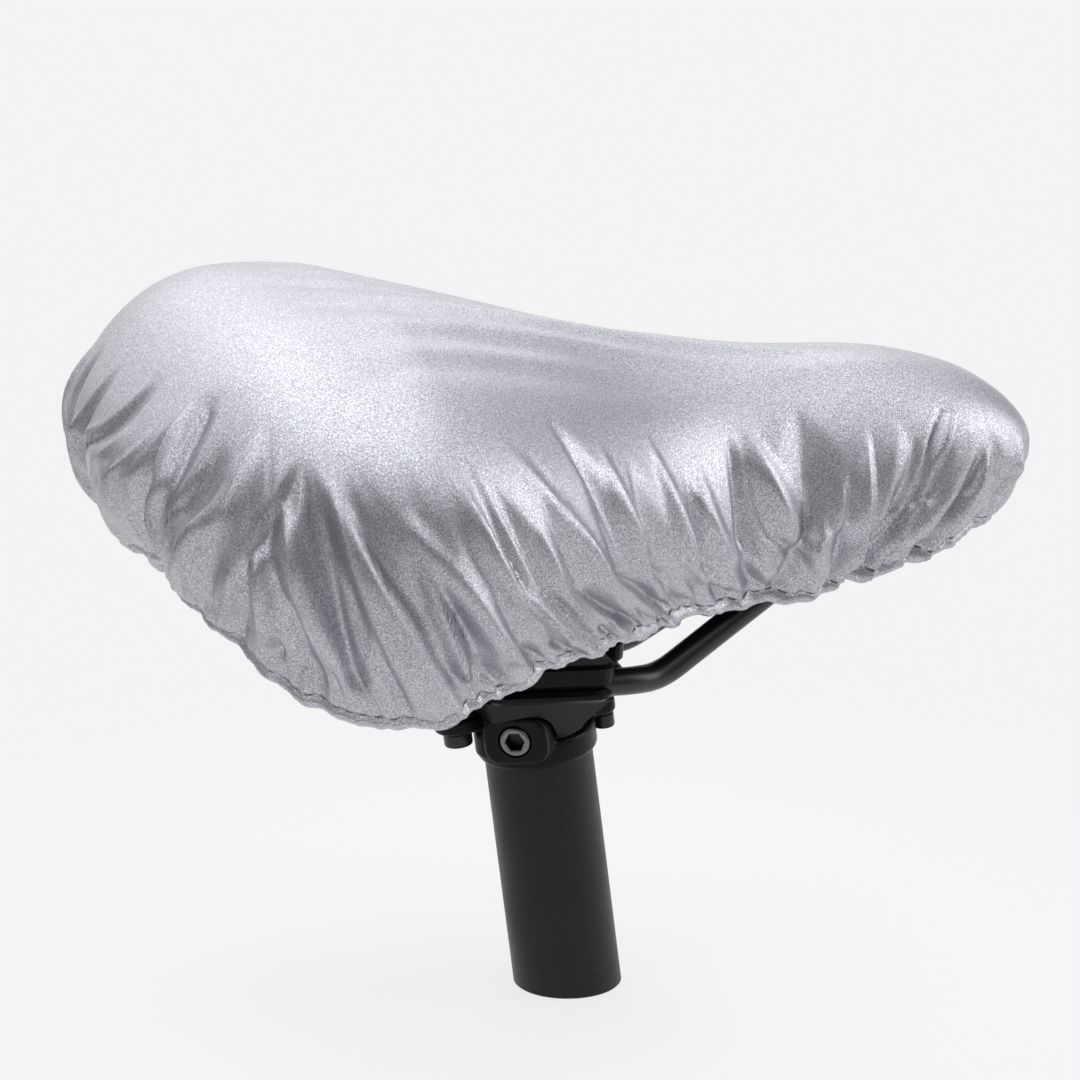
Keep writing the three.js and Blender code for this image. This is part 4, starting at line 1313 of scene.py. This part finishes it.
def pale_floor(colour):
    """A wide floor that glows as a lit paper sweep would: the glow is painted light. It is partly
    matt near the post, where it takes the post's soft shadow, and glows dimmer towards the camera
    and behind the saddle's rear."""
    material, tree, shader = new_material("pale_paper_sweep")
    set_inputs(tree, shader, {"Base Color": colour, "Roughness": 0.9})
    where = add_node(tree, "ShaderNodeTexCoord").outputs["Object"]
    away = add_node(tree, "ShaderNodeVectorMath", {0: where}, operation="LENGTH")
    share = spread(tree, away.outputs["Value"], *MATT_SHARE, "SMOOTHSTEP")
    axes = add_node(tree, "ShaderNodeSeparateXYZ", {"Vector": where}).outputs
    front = spread(tree, axes["Y"], *LIGHT_ALONG_Y, "SMOOTHSTEP")
    rear = spread(tree, axes["X"], *LIGHT_ALONG_X, "SMOOTHSTEP")
    light = add_node(tree, "ShaderNodeMath", {0: front, 1: rear}, operation="MULTIPLY")
    # The floor's emission is painted light: a glow in place of lit paper
    even = add_node(
        tree, "ShaderNodeEmission", {"Color": colour, "Strength": light.outputs[0]})
    mixed = add_node(
        tree, "ShaderNodeMixShader", {"Fac": share, 1: even.outputs[0], 2: shader.outputs[0]})
    set_inputs(tree, tree.nodes["Material Output"], {"Surface": mixed.outputs[0]})
    corners = FLOOR_HALF * np.array([(-1, -1, 0), (1, -1, 0), (1, 1, 0), (-1, 1, 0)])
    floor = new_object("floor", corners, [[[0, 1, 2, 3]]], material)


LIGHTS = (
    # name, place in m, width in m, height in m, power in W
    ("overhead_softbox", (-0.1, 0.0, 1.5), 2.6, 1.1, 6.0),
    ("rear_softbox", (0.0, 1.7, 0.95), 2.6, 1.1, 8.0),
    ("left_softbox", (-1.5, -0.6, 0.8), 0.8, 0.9, 3.0),
    ("right_softbox", (1.4, -0.4, 0.5), 0.8, 0.9, 7.5),
)


DOME = (
    # axis of the direction, where the change starts and ends, light at its start and end
    ("Z", 0.15, 1.0, 0.14, 1.55),
    ("Y", 0.1, 0.8, 0.0, 0.5),
)


def bright_dome():
    """The studio round the saddle: a white ceiling and back wall over a dim front."""
    world = bpy.data.worlds.new("studio")
    world.use_nodes = True
    tree = world.node_tree
    way = add_node(tree, "ShaderNodeTexCoord").outputs["Generated"]
    axes = add_node(tree, "ShaderNodeSeparateXYZ", {"Vector": way}).outputs
    light = None
    for axis, *places in DOME:
        part = spread(tree, axes[axis], *places, "SMOOTHSTEP")
        if light:
            part = add_node(tree, "ShaderNodeMath", {0: light, 1: part}).outputs[0]
        light = part
    background = {"Color": linear("#F4F5F7"), "Strength": light}
    set_inputs(tree, tree.nodes["Background"], background)
    return world


def studio_light():
    """Softboxes that face the saddle, and the bright dome round it."""
    for name, place, width, height, power in LIGHTS:
        light = bpy.data.lights.new(name, "AREA")
        light.shape = "RECTANGLE"
        light.size, light.size_y = width, height
        light.energy = power
        piece = bpy.data.objects.new(name, light)
        piece.location = place
        piece.rotation_euler = (LOOK_AT - Vector(place)).to_track_quat("-Z", "Y").to_euler()
        bpy.context.scene.collection.objects.link(piece)
    bpy.context.scene.world = bright_dome()
    bpy.context.scene.view_settings.view_transform = "Standard"


class SADDLE_PT_panel(bpy.types.Panel):
    """Lists the settings and the operators"""

    bl_idname = "SADDLE_PT_panel"
    bl_label = "Saddle cover"
    bl_space_type = "VIEW_3D"
    bl_region_type = "UI"
    bl_category = "Saddle cover"

    def draw(self, context):
        for group in (
            context.scene.saddle_cover, context.scene.saddle_hardware, context.scene.saddle_stage
        ):
            for name in group.bl_rna.properties.keys():
                if name not in ("rna_type", "name"):
                    self.layout.prop(group, name)
        for operator in OPERATORS:
            self.layout.operator(operator.bl_idname)


GROUPS = {
    "saddle_cover": SADDLE_PG_cover,
    "saddle_hardware": SADDLE_PG_hardware,
    "saddle_stage": SADDLE_PG_stage,
}
OPERATORS = (
    SADDLE_OT_stage,
    SADDLE_OT_cover,
    SADDLE_OT_stitches,
    SADDLE_OT_saddle,
    SADDLE_OT_rails,
    SADDLE_OT_post,
    SADDLE_OT_collar,
    SADDLE_OT_bolts,
)
CLASSES = (*GROUPS.values(), *OPERATORS, SADDLE_PT_panel)


def register():
    for item in CLASSES:
        bpy.utils.register_class(item)
    for name, group in GROUPS.items():
        setattr(bpy.types.Scene, name, bpy.props.PointerProperty(type=group))


def unregister():
    for name in GROUPS:
        delattr(bpy.types.Scene, name)
    for item in reversed(CLASSES):
        bpy.utils.unregister_class(item)


def main():
    register()
    bpy.ops.saddle.stage()
    bpy.ops.saddle.cover()
    bpy.ops.saddle.saddle()
    bpy.ops.saddle.stitches()
    bpy.ops.saddle.rails()
    bpy.ops.saddle.post()
    bpy.ops.saddle.collar()
    bpy.ops.saddle.bolts()
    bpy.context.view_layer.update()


if __name__ == "__main__":
    main()
